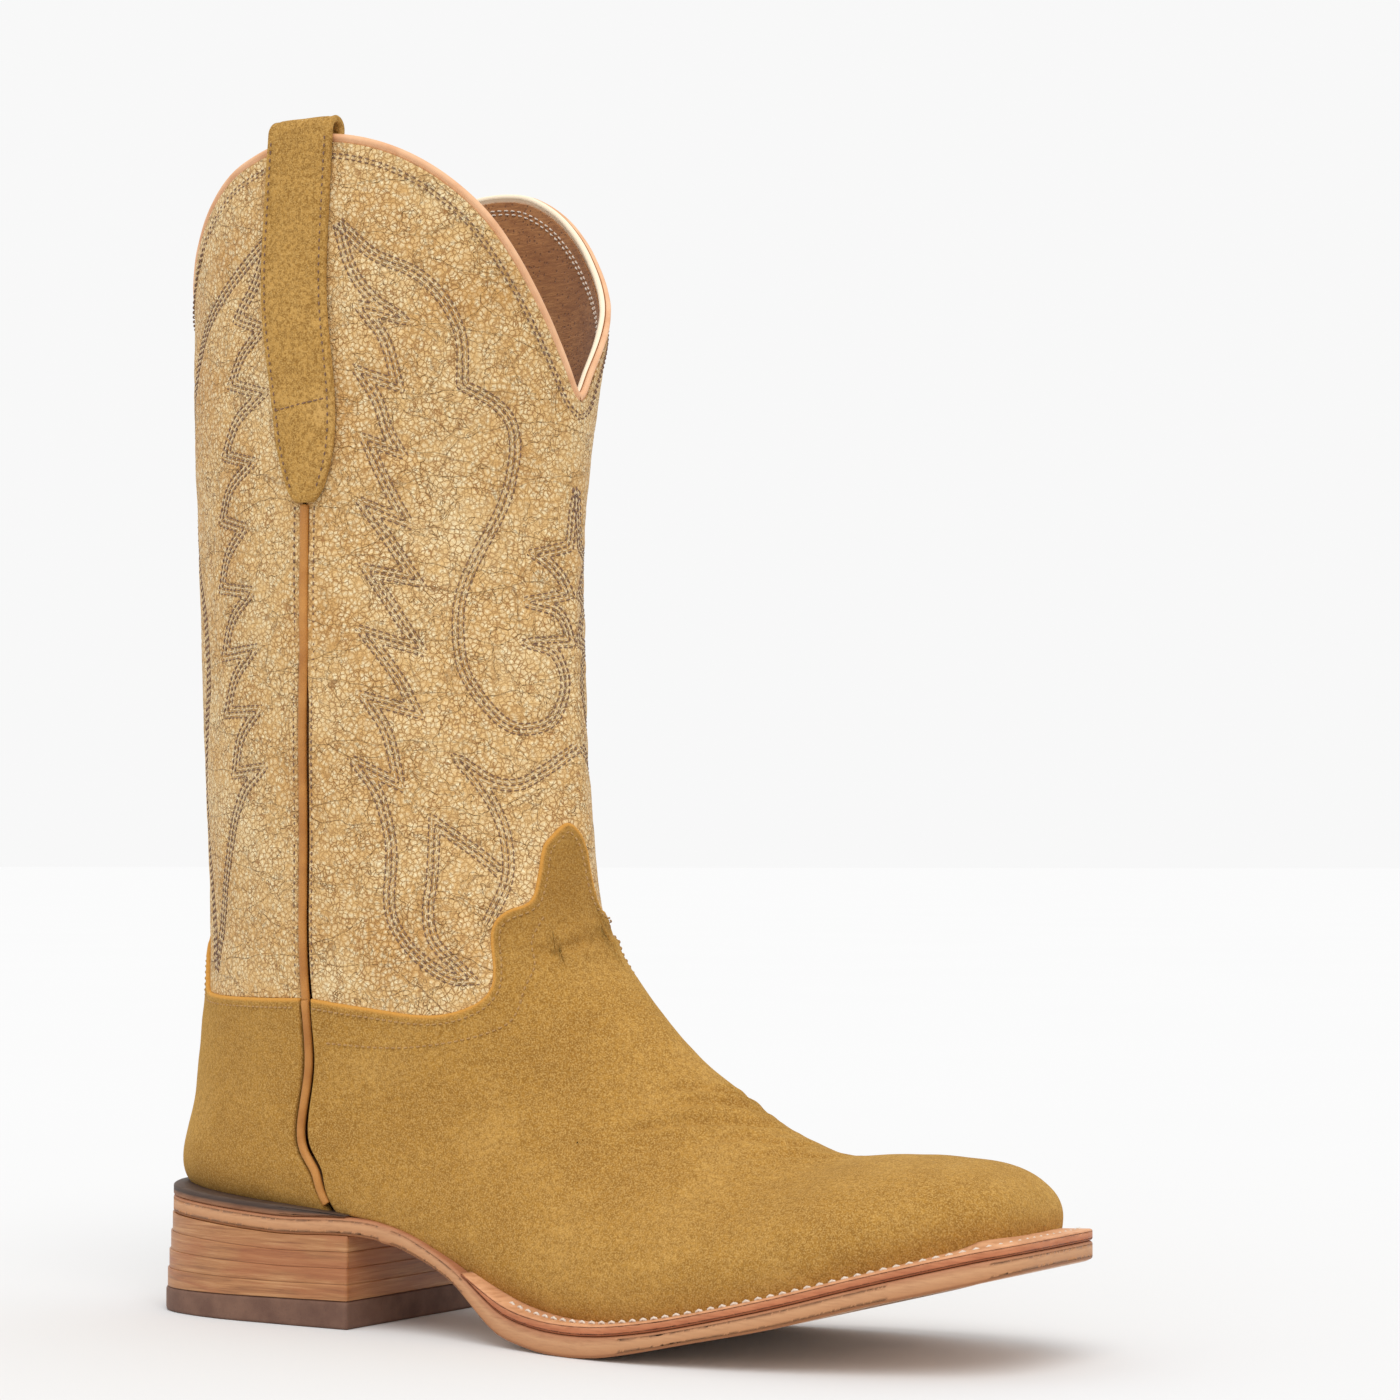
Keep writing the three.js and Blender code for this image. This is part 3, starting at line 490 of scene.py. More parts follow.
class Panel:
    """A sheet of the upper between side, upper and lower edges, on a grid of stations and angles."""

    def __init__(self, angle_at, upper, lower, cell, widest=2.0):
        ring = skin(widest, angle_at(np.linspace(0, 1, 400), np.full(400, float(widest))))
        around = lengths(ring)
        places = stepped(around[-1], cell)
        self.shares = np.interp(places * around[-1], around, np.linspace(0, 1, 400))
        first, last = upper(self.shares, angle_at), lower(self.shares, angle_at)
        run = np.interp(first, PACE_T, PACE), np.interp(last, PACE_T, PACE)
        rows = stepped(np.max(run[1] - run[0]), cell, near_end=False)
        self.t = np.interp(lerp(run[0], run[1], rows[:, None]), PACE, PACE_T)
        self.deg = angle_at(self.shares[None, :], self.t)
        self.flat = skin(self.t, self.deg)
        self.inward = inward(self.t, self.deg)

    def solid(self, depth, thick):
        outer = self.flat + self.inward * depth[..., None]
        return closed_sheet(outer, self.flat + self.inward * thick)

    def from_top(self):
        return distance(self.flat, self.flat[0])

    def from_sides(self):
        return np.minimum(*(distance(self.flat, self.flat[::2, k]) for k in (0, -1)))


def crossing(curve, lift=0.0, low=0.0, high=8.0):
    """The station at which a panel's column comes down to a height that depends on the angle."""
    def find(shares, angle_at):
        def above(t):
            deg = angle_at(shares, t)
            return skin(t, deg)[..., 2] > edge_height(curve, deg) + lift
        return bisect(above, low, high, shares.shape)
    return find


def at_seat(shares, angle_at):
    def above(t):
        p = skin(t, angle_at(shares, t))
        return p[..., 2] > seat(p[..., 0]) - SEAT_LAP
    return bisect(above, 5, 9, shares.shape)


def at_toe(shares, angle_at):
    return np.full(shares.shape, float(TOE_TIP))


def front_angles(shares, t):
    return lerp(slot(t) - seam_angle(t, -1), seam_angle(t, 1) - slot(t), shares)


def vamp_angles(shares, t):
    return (2 * shares - 1) * np.interp(t, *REACH)


def back_angles(shares, t):
    return lerp(seam_angle(t, 1) + slot(t), 360 - seam_angle(t, -1) - slot(t), shares)


def rounded(gap, radius):
    """How far a sheet's face drops at a distance from its edge, for a rounded edge."""
    short = np.clip(radius - gap, 0, radius)
    return radius - np.sqrt(radius**2 - short**2)


# ---- relief of the leathers, in millimetres outwards ----
def press(gap):
    """A stitched band lies in a shallow furrow between soft shoulders."""
    return 0.16 * np.exp(-(((gap - 5.2) / 2.2) ** 2)) - PRESS_DEPTH * np.exp(-((gap / PRESS_REACH) ** 4))


def shaft_relief(points, gap):
    stretch = points * np.array([1, 1, 0.8])
    height = 0.45 * waves(stretch, 30, 3) + 0.16 * waves(points, 9, 7)
    height -= 0.3 * wrinkles(points, 17, 0.09, 11) * smoothstep(noise(points, 40, 5), -0.4, 0.4)
    height -= 0.14 * wrinkles(points, 6, 0.12, 21)
    return height + press(gap)


CREASES = [  # flex creases across the top of the vamp: angle and station
    [(27, 7.5), (15, 7.62), (2, 7.9), (-14, 8.05)], [(30, 7.85), (15, 7.96), (2, 8.3), (-14, 8.45)],
    [(46, 8.1), (30, 8.23), (7, 8.8), (-8, 8.95)], [(34, 8.7), (20, 8.98), (10, 9.4), (-6, 9.55)],
    [(32, 9.2), (16, 9.61), (7, 10), (-4, 10.1)],
]
ANKLE_CREASE = [(-30, 5.05), (-8, 5.12), (10, 5.2), (28, 5.3), (34, 5.4)]


def skin_line(places):
    deg, t = catmull(places, 12).T
    return skin(t, deg)


def fold_across(points, line, seed, groove, width):
    """A furrow with soft shoulders along a line, running out at its ends."""
    gap = distance(points, line)
    ends = np.minimum(np.linalg.norm(points - line[0], axis=-1), np.linalg.norm(points - line[-1], axis=-1))
    wander = gap + 0.3 * noise(points, 5, seed)
    shoulder = np.exp(-(((gap - 2.2 * width) / (1.2 * width)) ** 2))
    return smoothstep(ends, 0, 9) * groove * (0.55 * shoulder - np.exp(-((wander / width) ** 2)))


def suede_relief(points):
    height = 0.4 * waves(points, 34, 31) + 0.1 * waves(points, 8, 33)
    for k, places in enumerate(CREASES):
        height += fold_across(points, skin_line(places), 41 + k, 0.85, 1.2)
    return height + fold_across(points, skin_line(ANKLE_CREASE), 40, 1.2, 1.6)


# ---- stitch lines ----
def trace(chain, mirror=False):
    """Stations, angles and places of a chain's centre line, every half millimetre."""
    drawn = []
    start = []
    for stroke in chain:
        line = np.array(start + list(stroke), float)
        drawn.append(catmull(line, 10) if len(line) > 2 else np.linspace(line[0], line[1], 24))
        start = [tuple(stroke[-1])]
    deg, z = np.concatenate([drawn[0], *(d[1:] for d in drawn[1:])]).T
    if mirror:
        deg = -mirrored(station_at(z, deg), deg)
    return Line(station_at(z, deg), deg)


def mirrored(t, deg):
    """The angle on the inner side, where the seam runs further back, of an angle on the outer side."""
    seam, shifted = seam_angle(t, 1), seam_angle(t, -1)
    ahead = deg + (shifted - seam) * smoothstep(deg, 45, seam)
    behind = 180 - (180 - deg) * (180 - shifted) / (180 - seam)
    return np.where(deg < seam, ahead, behind)


class Line:
    """A line on the skin, kept as stations and angles with the matching points."""

    def __init__(self, t, deg):
        self.t, self.deg = t, deg
        self.points = skin(t, deg)

    def offset(self, side):
        """The line moved sideways along the skin, with mitred corners and without loops."""
        p = self.points
        forward = unit(np.diff(p, axis=0))
        out = -inward(self.t, self.deg)
        across = unit(np.cross((out[1:] + out[:-1]) / 2, forward))
        a = np.concatenate([across[:1], across])
        b = np.concatenate([across, across[-1:]])
        mitre = (a + b) / np.maximum(1 + (a * b).sum(1), 0.12)[:, None]
        moved = p + side * mitre
        if side:
            kept = distance(moved, p) >= 0.97 * abs(side)
            moved, t, deg = moved[kept], self.t[kept], self.deg[kept]
        else:
            t, deg = self.t, self.deg
        return Line(*settle(moved, t, deg))


def settle(points, t, deg):
    """Stations and angles of the skin's points nearest to the given points, from a first guess."""
    t, deg = t.copy(), deg.copy()
    for _ in range(4):
        du = (skin(t + 0.01, deg) - skin(t - 0.01, deg)) / 0.02
        dv = (skin(t, deg + 0.5) - skin(t, deg - 0.5))
        r = points - skin(t, deg)
        uu, uv, vv = (du * du).sum(1), (du * dv).sum(1), (dv * dv).sum(1)
        ru, rv = (du * r).sum(1), (dv * r).sum(1)
        det = np.maximum(uu * vv - uv * uv, 1e-9)
        t = np.clip(t + (vv * ru - uv * rv) / det, 0.02, TOE_TIP - 0.05)
        deg = deg + (uu * rv - uv * ru) / det
    return t, deg


def spaced(points, ups, pitch, share):
    """Ends and up direction of each stitch along a line of holes."""
    along = lengths(points)
    count = int(along[-1] / pitch)
    if count < 1:
        return np.empty((0, 3)), np.empty((0, 3)), np.empty((0, 3))
    start = (np.arange(count) + (1 - share) / 2) * pitch
    a, b = resample(points, start), resample(points, start + share * pitch)
    up = unit(np.stack([np.interp(start, along, c) for c in ups.T], axis=1))
    return a, b, up


class Thread:
    """Stitches of one thread, gathered row by row and made into one piece."""

    def __init__(self, radius, sides=4):
        self.radius, self.sides = radius, sides
        self.rows = []

    def sew(self, points, ups, pitch, share=0.8):
        self.rows.append(spaced(points, ups, pitch, share))

    def build(self, name, look):
        a, b, up = (np.concatenate(part) for part in zip(*self.rows))
        forward = unit(b - a)
        side = unit(np.cross(up, forward))
        rise = np.cross(forward, side)
        rings = [(0.14, 0.1, 0.8), (0.5, 0.75, 1.0), (0.86, 0.1, 0.8)]
        turns = 2 * np.pi * (np.arange(self.sides) + 0.5) / self.sides
        parts = [a - rise * self.radius]
        for place, lift, swell in rings:
            centre = lerp(a, b, place) + rise * (lift * self.radius)
            for turn in turns:
                parts.append(centre + swell * self.radius * (math.cos(turn) * side + math.sin(turn) * rise))
        parts.append(b - rise * self.radius)
        points = np.stack(parts, axis=1)
        size, s = points.shape[1], self.sides
        unit_faces = [[0, 1 + (k + 1) % s, 1 + k] for k in range(s)]
        unit_faces += [[size - 1, size - 1 - s + k, size - 1 - s + (k + 1) % s] for k in range(s)]
        quads = [[1 + r * s + k, 1 + r * s + (k + 1) % s, 1 + (r + 1) * s + (k + 1) % s, 1 + (r + 1) * s + k]
                 for r in range(2) for k in range(s)]
        base = np.arange(len(points))[:, None, None] * size
        tris = (base + np.array(unit_faces)).reshape(-1, 3).tolist()
        quads = (base + np.array(quads)).reshape(-1, 4).tolist()
        add_mesh(name, points.reshape(-1, 3), tris + quads, look)


# ---- materials ----
def paint(colour):
    """Linear colour from three screen values of 0 to 255; sockets and linear colours stay as they are."""
    if not isinstance(colour, tuple) or len(colour) == 4:
        return colour
    shares = [value / 255 for value in colour]
    return tuple(c / 12.92 if c < 0.0404 else ((c + 0.055) / 1.055) ** 2.4 for c in shares) + (1,)


class Look:
    """A material under construction, with short ways to add nodes."""

    def __init__(self, name, roughness, **settings):
        self.material = bpy.data.materials.new(name)
        self.material.use_nodes = True
        self.tree = self.material.node_tree
        self.shader = self.tree.nodes["Principled BSDF"]
        self.shader.inputs["Roughness"].default_value = roughness
        for key, value in settings.items():
            self.shader.inputs[key.replace("_", " ").title().replace("Ior", "IOR")].default_value = value
        self.place = self.node("TexCoord").outputs["Object"]

    def node(self, kind, settings=None, inputs=None):
        made = self.tree.nodes.new("ShaderNode" + kind)
        for key, value in (settings or {}).items():
            setattr(made, key, value)
        for key, value in (inputs or {}).items():
            self.plug(value, made.inputs[key])
        return made

    def plug(self, value, socket):
        if isinstance(value, bpy.types.NodeSocket):
            self.tree.links.new(value, socket)
        else:
            socket.default_value = value

    def math(self, operation, a, b=0.0, c=0.0):
        return self.node("Math", {"operation": operation}, {0: a, 1: b, 2: c}).outputs[0]

    def times(self, a, b):
        return self.math("MULTIPLY", a, b)

    def inverse(self, a):
        return self.math("SUBTRACT", 1.0, a)

    def level(self, fibre, blur):
        """Height within a layer of leather, from 0 to 1, blurred by its fibres."""
        return self.math("ADD", self.attribute("level"), self.times(self.math("SUBTRACT", fibre, 0.5), blur))

    def noise(self, size, detail=3.0, where=None, rough=0.55, skew=0.0):
        """Noise from 0 to 1 with features of a size in millimetres."""
        inputs = {"Vector": where or self.place, "Scale": 1 / (size * MM), "Detail": detail,
                  "Roughness": rough, "Distortion": skew}
        return self.node("TexNoise", None, inputs).outputs["Fac"]

    def cells(self, size, where=None, feature="DISTANCE_TO_EDGE", output="Distance"):
        """Distance to the nearest border between cells of a size in millimetres."""
        inputs = {"Vector": where or self.place, "Scale": 1 / (size * MM)}
        return self.node("TexVoronoi", {"feature": feature}, inputs).outputs[output]

    def warped(self, size, strength):
        """The place, pushed about by noise of a size and strength in millimetres."""
        push = self.node("TexNoise", None, {"Vector": self.place, "Scale": 1 / (size * MM), "Detail": 2.0})
        moved = self.node("VectorMath", {"operation": "MULTIPLY_ADD"},
                          {0: push.outputs["Color"], 1: (strength * MM,) * 3, 2: self.place})
        return moved.outputs[0]

    def stretched(self, x, y, z, where=None):
        return self.node("Mapping", None, {"Vector": where or self.place, "Scale": (x, y, z)}).outputs[0]

    def ramp(self, factor, *stops):
        """Colours by a factor: stops are (position, colour)."""
        made = self.node("ValToRGB", None, {"Fac": factor})
        bar = made.color_ramp.elements
        while len(bar) < len(stops):
            bar.new(0.5)
        for element, (position, colour) in zip(bar, stops):
            element.position = position
            element.color = paint(colour)
        return made.outputs["Color"]

    def band(self, factor, low, high, start=0.0, end=1.0):
        made = self.node("MapRange", {"interpolation_type": "SMOOTHSTEP"},
                         {0: factor, 1: low, 2: high, 3: start, 4: end})
        return made.outputs[0]

    def mix(self, factor, a, b, how="MIX"):
        inputs = {0: factor, 6: paint(a), 7: paint(b)}
        return self.node("Mix", {"data_type": "RGBA", "blend_type": how}, inputs).outputs[2]

    def attribute(self, name):
        return self.node("Attribute", {"attribute_name": name}).outputs["Fac"]

    def bump(self, height, distance, under_bump=None, strength=1.0):
        inputs = {"Height": height, "Distance": distance * MM, "Strength": strength}
        if under_bump:
            inputs["Normal"] = under_bump
        return self.node("Bump", None, inputs).outputs[0]

    def finish(self, colour, normal=None, roughness=None):
        self.plug(colour, self.shader.inputs["Base Color"])
        if normal:
            self.plug(normal, self.shader.inputs["Normal"])
        if roughness:
            self.plug(roughness, self.shader.inputs["Roughness"])
        return self.material


def crackle_look():
    """Waxed gold leather, rubbed pale on its pebbles, with a net of fine brown cracks and long creases."""
    look = Look("crackled_gold_leather", 0.6, specular_ior_level=0.3)
    near = look.warped(2.2, 2.0)
    far = look.warped(9.0, 9.0)
    long_way = look.stretched(0.6, 0.6, 1.7, look.warped(10.0, 5.0))
    patch = look.noise(24.0, 4.0)
    wear = look.noise(3.2, 5.0, rough=0.65)
    grit = look.noise(0.4, 2.0)
    crack = look.band(look.cells(1.5, near), 0.0, 0.12)
    fine = look.band(look.cells(0.8, near), 0.0, 0.2)
    net = look.band(look.cells(26.0, long_way), 0.0, 0.010)
    fold = look.math("ABSOLUTE", look.math("SUBTRACT", look.noise(11.0, 3.0, far, skew=0.8), 0.5))
    crease = look.band(fold, 0.0, 0.010)

    gold = look.ramp(patch, (0.3, (211, 163, 94)), (0.5, (229, 190, 126)), (0.72, (240, 210, 154)))
    crown = look.band(look.cells(1.5, near, "F1"), 0.0, 0.7, 0.85, 0.0)
    rubbed = look.times(crown, look.band(wear, 0.35, 0.6, 0.3, 1.0))
    colour = look.mix(rubbed, gold, (255, 246, 206))
    depth = look.band(look.noise(6.0, 3.0), 0.32, 0.68, 0.35, 1.0)
    colour = look.mix(look.times(depth, look.inverse(crack)), colour, (146, 98, 48))
    colour = look.mix(look.times(0.3, look.inverse(fine)), colour, (164, 118, 66))
    colour = look.mix(look.band(grit, 0.4, 0.65, 0.3, 0.0), colour, (170, 124, 70))
    creased = look.times(look.band(patch, 0.4, 0.6, 0.25, 0.7), look.inverse(crease))
    colour = look.mix(creased, colour, (140, 98, 54))
    broken = look.band(look.noise(13.0, 2.0), 0.45, 0.6, 0.0, 0.6)
    colour = look.mix(look.times(broken, look.inverse(net)), colour, (130, 90, 48))

    height = look.times(look.math("MULTIPLY_ADD", fine, 0.3, crack), look.math("ADD", wear, 0.2))
    normal = look.bump(height, 0.16)
    normal = look.bump(look.times(crease, net), 0.2, normal)
    normal = look.bump(look.noise(0.45, 3.0), 0.05, normal)
    return look.finish(colour, normal, look.band(wear, 0.3, 0.7, 0.66, 0.52))


def suede_look(name, tones, tuft_share):
    """Suede: a short nap that turns lighter and darker in clouds, with darker tufts and streaks, and painted
    shade where a piece marks it.
    """
    look = Look(name, 0.95, specular_ior_level=0.15, sheen_weight=0.35, sheen_roughness=0.45)
    look.shader.inputs["Sheen Tint"].default_value = paint((226, 188, 106))
    nap = look.noise(0.45, 4.0, rough=0.7)
    brushed = look.noise(3.5, 4.0, look.stretched(0.4, 1, 1), skew=0.6)
    cloud = look.noise(30.0, 4.0)
    tuft = look.noise(1.3, 3.0, rough=0.6)
    base = look.ramp(cloud, *zip((0.3, 0.52, 0.72), tones))
    streaked = look.mix(look.band(brushed, 0.35, 0.7, 0.0, 0.35), base, (138, 96, 38))
    tufted = look.mix(look.band(tuft, 0.4, 0.6, tuft_share, 0.0), streaked, (128, 88, 34))
    speckled = look.mix(look.band(nap, 0.42, 0.66, 0.0, 0.65), tufted, (216, 175, 106))
    # painted shade: the suede darker where the piece marks it
    speckled = look.mix(look.attribute("painted_shade"), speckled, (120, 82, 36))
    speckled = look.mix(look.attribute("rim"), speckled, (210, 150, 70))
    normal = look.bump(nap, 0.2)
    normal = look.bump(tuft, 0.3, normal)
    normal = look.bump(brushed, 0.25, normal)
    return look.finish(speckled, normal)


def piping_look(dark, light):
    """Plain dyed leather with a fine grain."""
    look = Look("piping_leather", 0.5, specular_ior_level=0.4)
    cloud = look.noise(9.0, 4.0)
    grain = look.cells(0.7, look.warped(1.0, 0.4))
    base = look.ramp(cloud, (0.3, dark), (0.7, light))
    colour = look.mix(look.band(grain, 0.0, 0.15, 0.25, 0.0), base, dark)
    normal = look.bump(look.band(grain, 0.0, 0.25), 0.05)
    normal = look.bump(look.noise(3.0, 3.0), 0.1, normal)
    return look.finish(colour, normal)


def lining_look():
    """Unfinished pigskin lining with groups of pores."""
    look = Look("pigskin_lining", 0.8, specular_ior_level=0.25, sheen_weight=0.15)
    cloud = look.noise(22.0, 5.0)
    pores = look.band(look.cells(1.7, look.warped(4.0, 1.5), "F1"), 0.12, 0.3)
    brushed = look.noise(1.5, 5.0, look.stretched(0.3, 0.3, 1.8), rough=0.7, skew=0.5)
    base = look.ramp(cloud, (0.28, (158, 105, 62)), (0.55, (178, 124, 76)), (0.78, (196, 144, 96)))
    base = look.mix(look.band(brushed, 0.35, 0.65, 0.6, 0.0), base, (120, 72, 42))
    colour = look.mix(pores, (124, 80, 50), base)
    normal = look.bump(pores, 0.12)
    normal = look.bump(brushed, 0.2, normal)
    return look.finish(colour, normal)


def binding_look():
    """Folded strip over the top edge: pinkish tan outside, a dark groove, a pale bead inside."""
    look = Look("binding_leather", 0.5, specular_ior_level=0.35)
    cloud = look.noise(9.0, 4.0)
    across = look.attribute("across")
    base = look.ramp(cloud, (0.3, (216, 160, 116)), (0.7, (238, 190, 148)))
    colour = look.mix(look.band(across, 0.2, 0.45), base, (160, 104, 60))
    colour = look.mix(look.band(across, 0.55, 0.8), colour, (250, 232, 204))
    return look.finish(colour, look.bump(look.noise(1.0, 3.0), 0.06))


def edge_look(name, *colours):
    """Cut edge of sole leather: pressed layers by height, a fibrous grain along the edge. On the rand the
    dark upper colours are partly its dark top edge and partly painted shadow under the upper.
    """
    look = Look(name, 0.6, specular_ior_level=0.4)
    fibre = look.noise(1.1, 5.0, look.stretched(0.18, 0.18, 1.6), rough=0.65)
    blotch = look.noise(16.0, 3.0)
    level = look.level(fibre, 0.16)
    layers = look.ramp(level, *colours)
    darker = look.mix(1.0, layers, (190, 160, 135), "MULTIPLY")
    colour = look.mix(look.band(fibre, 0.35, 0.75, 0.0, 0.6), layers, darker)
    colour = look.mix(look.band(blotch, 0.35, 0.75, 0.0, 0.35), colour, darker)
    normal = look.bump(fibre, 0.14)
    return look.finish(colour, normal)


def sole_look():
    """Outsole: light edge with a darker burnished line, paler leather on the tread."""
    look = Look("sole_leather", 0.6, specular_ior_level=0.4)
    fibre = look.noise(1.1, 5.0, look.stretched(0.2, 0.2, 1.6), rough=0.65)
    cloud = look.noise(20.0, 4.0)
    level = look.level(fibre, 0.14)
    edge = look.ramp(level, (0.0, (176, 118, 76)), (0.1, (158, 104, 66)),
                     (0.2, (182, 128, 86)), (0.62, (200, 150, 108)), (1.0, (168, 110, 76)))
    tread = look.ramp(cloud, (0.3, (206, 168, 138)), (0.7, (226, 192, 164)))
    colour = look.mix(look.attribute("tread"), edge, tread)
    colour = look.mix(look.band(fibre, 0.4, 0.8, 0.0, 0.35), colour, (140, 88, 54))
    normal = look.bump(fibre, 0.1)
    return look.finish(colour, normal)


def stack_look():
    """Stacked heel leather: streaks along each layer, red-brown in places, waxed."""
    look = Look("stacked_leather", 0.45, specular_ior_level=0.5)
    streak = look.noise(2.4, 6.0, look.stretched(0.1, 0.1, 2.4), rough=0.7, skew=0.3)
    flame = look.noise(14.0, 3.0, look.stretched(0.35, 0.35, 2.0), skew=1.0)
    base = look.ramp(streak, (0.25, (120, 72, 38)), (0.5, (170, 116, 70)), (0.75, (200, 151, 104)))
    warm = look.mix(look.band(flame, 0.4, 0.68, 0.0, 0.5), base, (158, 88, 50))
    seam = look.band(look.attribute("level"), 0.0, 0.06, 0.4, 0.0)
    colour = look.mix(seam, warm, (112, 68, 42))
    normal = look.bump(streak, 0.1)
    return look.finish(colour, normal)


def rubber_look():
    """Matt rubber with dark specks."""
    look = Look("heel_rubber", 0.75)
    speck = look.noise(0.6, 3.0)
    colour = look.ramp(look.noise(8.0, 3.0), (0.3, (98, 67, 53)), (0.7, (122, 89, 71)))
    colour = look.mix(look.band(speck, 0.55, 0.8, 0.0, 0.4), colour, (62, 48, 40))
    return look.finish(colour, look.bump(speck, 0.08))


def cork_look():
    """Cork grains in many tones."""
    look = Look("cork_filler", 0.95)
    grains = look.node("TexVoronoi", None, {"Vector": look.place, "Scale": 1 / (2.2 * MM)})
    tone = look.node("SeparateColor", None, {0: grains.outputs["Color"]}).outputs[0]
    colour = look.ramp(tone, (0.1, (120, 84, 52)), (0.9, (190, 150, 104)))
    return look.finish(colour, look.bump(grains.outputs["Distance"], 0.2))


def fibrous_look(name, dark, light, size, detail, roughness, stretch=(1, 1, 1), relief=0.1, **settings):
    """Plain material with fine fibres."""
    look = Look(name, roughness, **settings)
    fibre = look.noise(size, detail, look.stretched(*stretch))
    return look.finish(look.ramp(fibre, (0.3, dark), (0.7, light)), look.bump(fibre, relief))


def thread_look(name, dark, light):
    return fibrous_look(name, dark, light, 0.5, 2.0, 0.7, sheen_weight=0.2)


CRACKLE = crackle_look()
SUEDE = suede_look("mustard_suede", [(152, 107, 42), (172, 126, 54), (188, 143, 72)], 0.5)
STRAP_SUEDE = suede_look("strap_suede", [(172, 128, 62), (194, 149, 80), (208, 166, 102)], 0.75)
PIPING = piping_look((164, 104, 42), (196, 136, 66))
BINDING = binding_look()
LINING_SKIN = lining_look()
WELT = edge_look("welt_leather", (0.0, (160, 92, 56)), (0.3, (190, 116, 76)), (0.75, (208, 140, 98)),
                 (1.0, (226, 172, 128)))
# Dark upper half of the rand: partly its dark top edge, partly painted shadow in the gap under the heel
# counter.
RAND = edge_look("rand_leather", (0.0, (160, 110, 74)), (0.42, (120, 84, 60)), (0.6, (66, 50, 42)),
                 (1.0, (84, 66, 54)))
SOLE = sole_look()
STACK = stack_look()
RUBBER = rubber_look()
CORK = cork_look()
BOARD = fibrous_look("fibre_board", (150, 116, 78), (196, 160, 114), 1.6, 5.0, 0.9, (0.3, 1, 1))
STEEL = fibrous_look("steel", (150, 152, 156), (188, 190, 194), 0.8, 4.0, 0.35, (0.1, 1, 1), 0.03,
                     metallic=1.0)
THREADS = {
    "brown": thread_look("thread_brown", (92, 62, 44), (138, 100, 74)),
    "cream": thread_look("thread_cream", (196, 168, 124), (232, 210, 168)),
    "tan": thread_look("thread_tan", (150, 108, 56), (196, 154, 92)),
    "white": thread_look("thread_white", (196, 178, 160), (234, 220, 204)),
}


# ---- the shaft ----
def pattern_lines(chains):
    return [trace(chain, mirror) for chain in chains for mirror in (False, True)]


FRONT_LINES = pattern_lines([FRONT_WAVE, FRONT_FLAME, FRONT_CREST])
BACK_LINES = pattern_lines([BACK_WAVE, BACK_FLAME])


def nearest_line(points, lines):
    return np.min([distance(points, line.points[::2]) for line in lines], axis=0)


def shaft_panel(name, angles, lower, lines, replaced):
    sheet = Panel(angles, crossing(TOPLINE), lower, FINE_CELL)
    gap = nearest_line(sheet.flat, lines)
    sides = sheet.from_sides()
    relief = shaft_relief(sheet.flat, gap) * smoothstep(np.minimum(sides, sheet.from_top()), 0, 6)
    below = skin(sheet.t, sheet.deg)[..., 2] < PIPING_TOP
    depth = rounded(np.where(below, sides, 9), 0.9) - relief
    points, faces = sheet.solid(depth, SHAFT_LEATHER)
    add_mesh(name, points, faces, CRACKLE, [replaced])


def lining_panel(name, angles, upper, lower, replaced):
    sheet = Panel(angles, upper, lower, LINING_CELL)
    bulge = 0.25 * waves(sheet.flat, 26, 61)
    points, faces = sheet.solid(LINING_DEPTH + bulge, LINING_DEPTH + LINING)
    add_mesh(name, points, faces, LINING_SKIN, [replaced])


shaft_panel("shaft_front_leather", front_angles, crossing(VAMP_EDGE, -0.6), FRONT_LINES, "shaft_front")
shaft_panel("shaft_back_leather", back_angles, crossing(COUNTER_EDGE, -0.6), BACK_LINES, "shaft_back")
lining_panel("shaft_front_lining", front_angles, crossing(TOPLINE), crossing(LINING_EDGE),
             "shaft_lining_front")
lining_panel("shaft_back_lining", back_angles, crossing(TOPLINE), crossing(LINING_EDGE), "shaft_lining_back")


# ---- the foot ----
def foot_panel(name, angles, curve, lower, replaced):
    sheet = Panel(angles, crossing(curve, 0.0, 2.0, 8.0), lower, FINE_CELL, widest=5.0)
    edge = sheet.from_top()
    sides = np.where(sheet.t < FULL_FOOT - 1.5, sheet.from_sides(), 9)
    relief = suede_relief(sheet.flat) * smoothstep(edge, 0, 5)
    relief += 0.22 * noise(sheet.flat, 1.6, 51) * np.exp(-edge / 0.7)
    depth = rounded(edge, 0.7) + rounded(sides, 0.9) - FOOT_PROUD - relief
    points, faces = sheet.solid(depth, FOOT_LEATHER - FOOT_PROUD)
    piece = add_mesh(name, points, faces, SUEDE, [replaced])
    rim = 0.85 * (1 - smoothstep(edge, 0.5, 1.3)).reshape(-1)
    hidden = np.zeros(len(points) - len(rim))
    mark(piece, "rim", np.concatenate([rim, hidden]))
    # Painted shade on the suede: darker at the top of the tongue in front, along the seat by the sole and
    # towards the back of the heel.
    above_seat = sheet.flat[..., 2] - seat(sheet.flat[..., 0])
    painted_shade = 0.34 * (1 - smoothstep(sheet.t, 4.6, 5.9)) * (np.cos(np.radians(sheet.deg)) > 0.3)
    painted_shade += 0.16 * (1 - smoothstep(above_seat, 2, 16)) + 0.14 * (1 - smoothstep(sheet.flat[..., 0], 20, 80))
    mark(piece, "painted_shade", np.concatenate([painted_shade.reshape(-1), hidden]))


foot_panel("vamp_suede", vamp_angles, VAMP_EDGE, at_toe, "vamp")
foot_panel("heel_counter_suede", back_angles, COUNTER_EDGE, at_seat, "heel_cover")


# ---- piping and binding ----
def frames(route, up):
    """Side and up directions along a route."""
    forward = unit(np.gradient(route, axis=0))
    side = unit(np.cross(up, forward))
    return side, np.cross(forward, side)


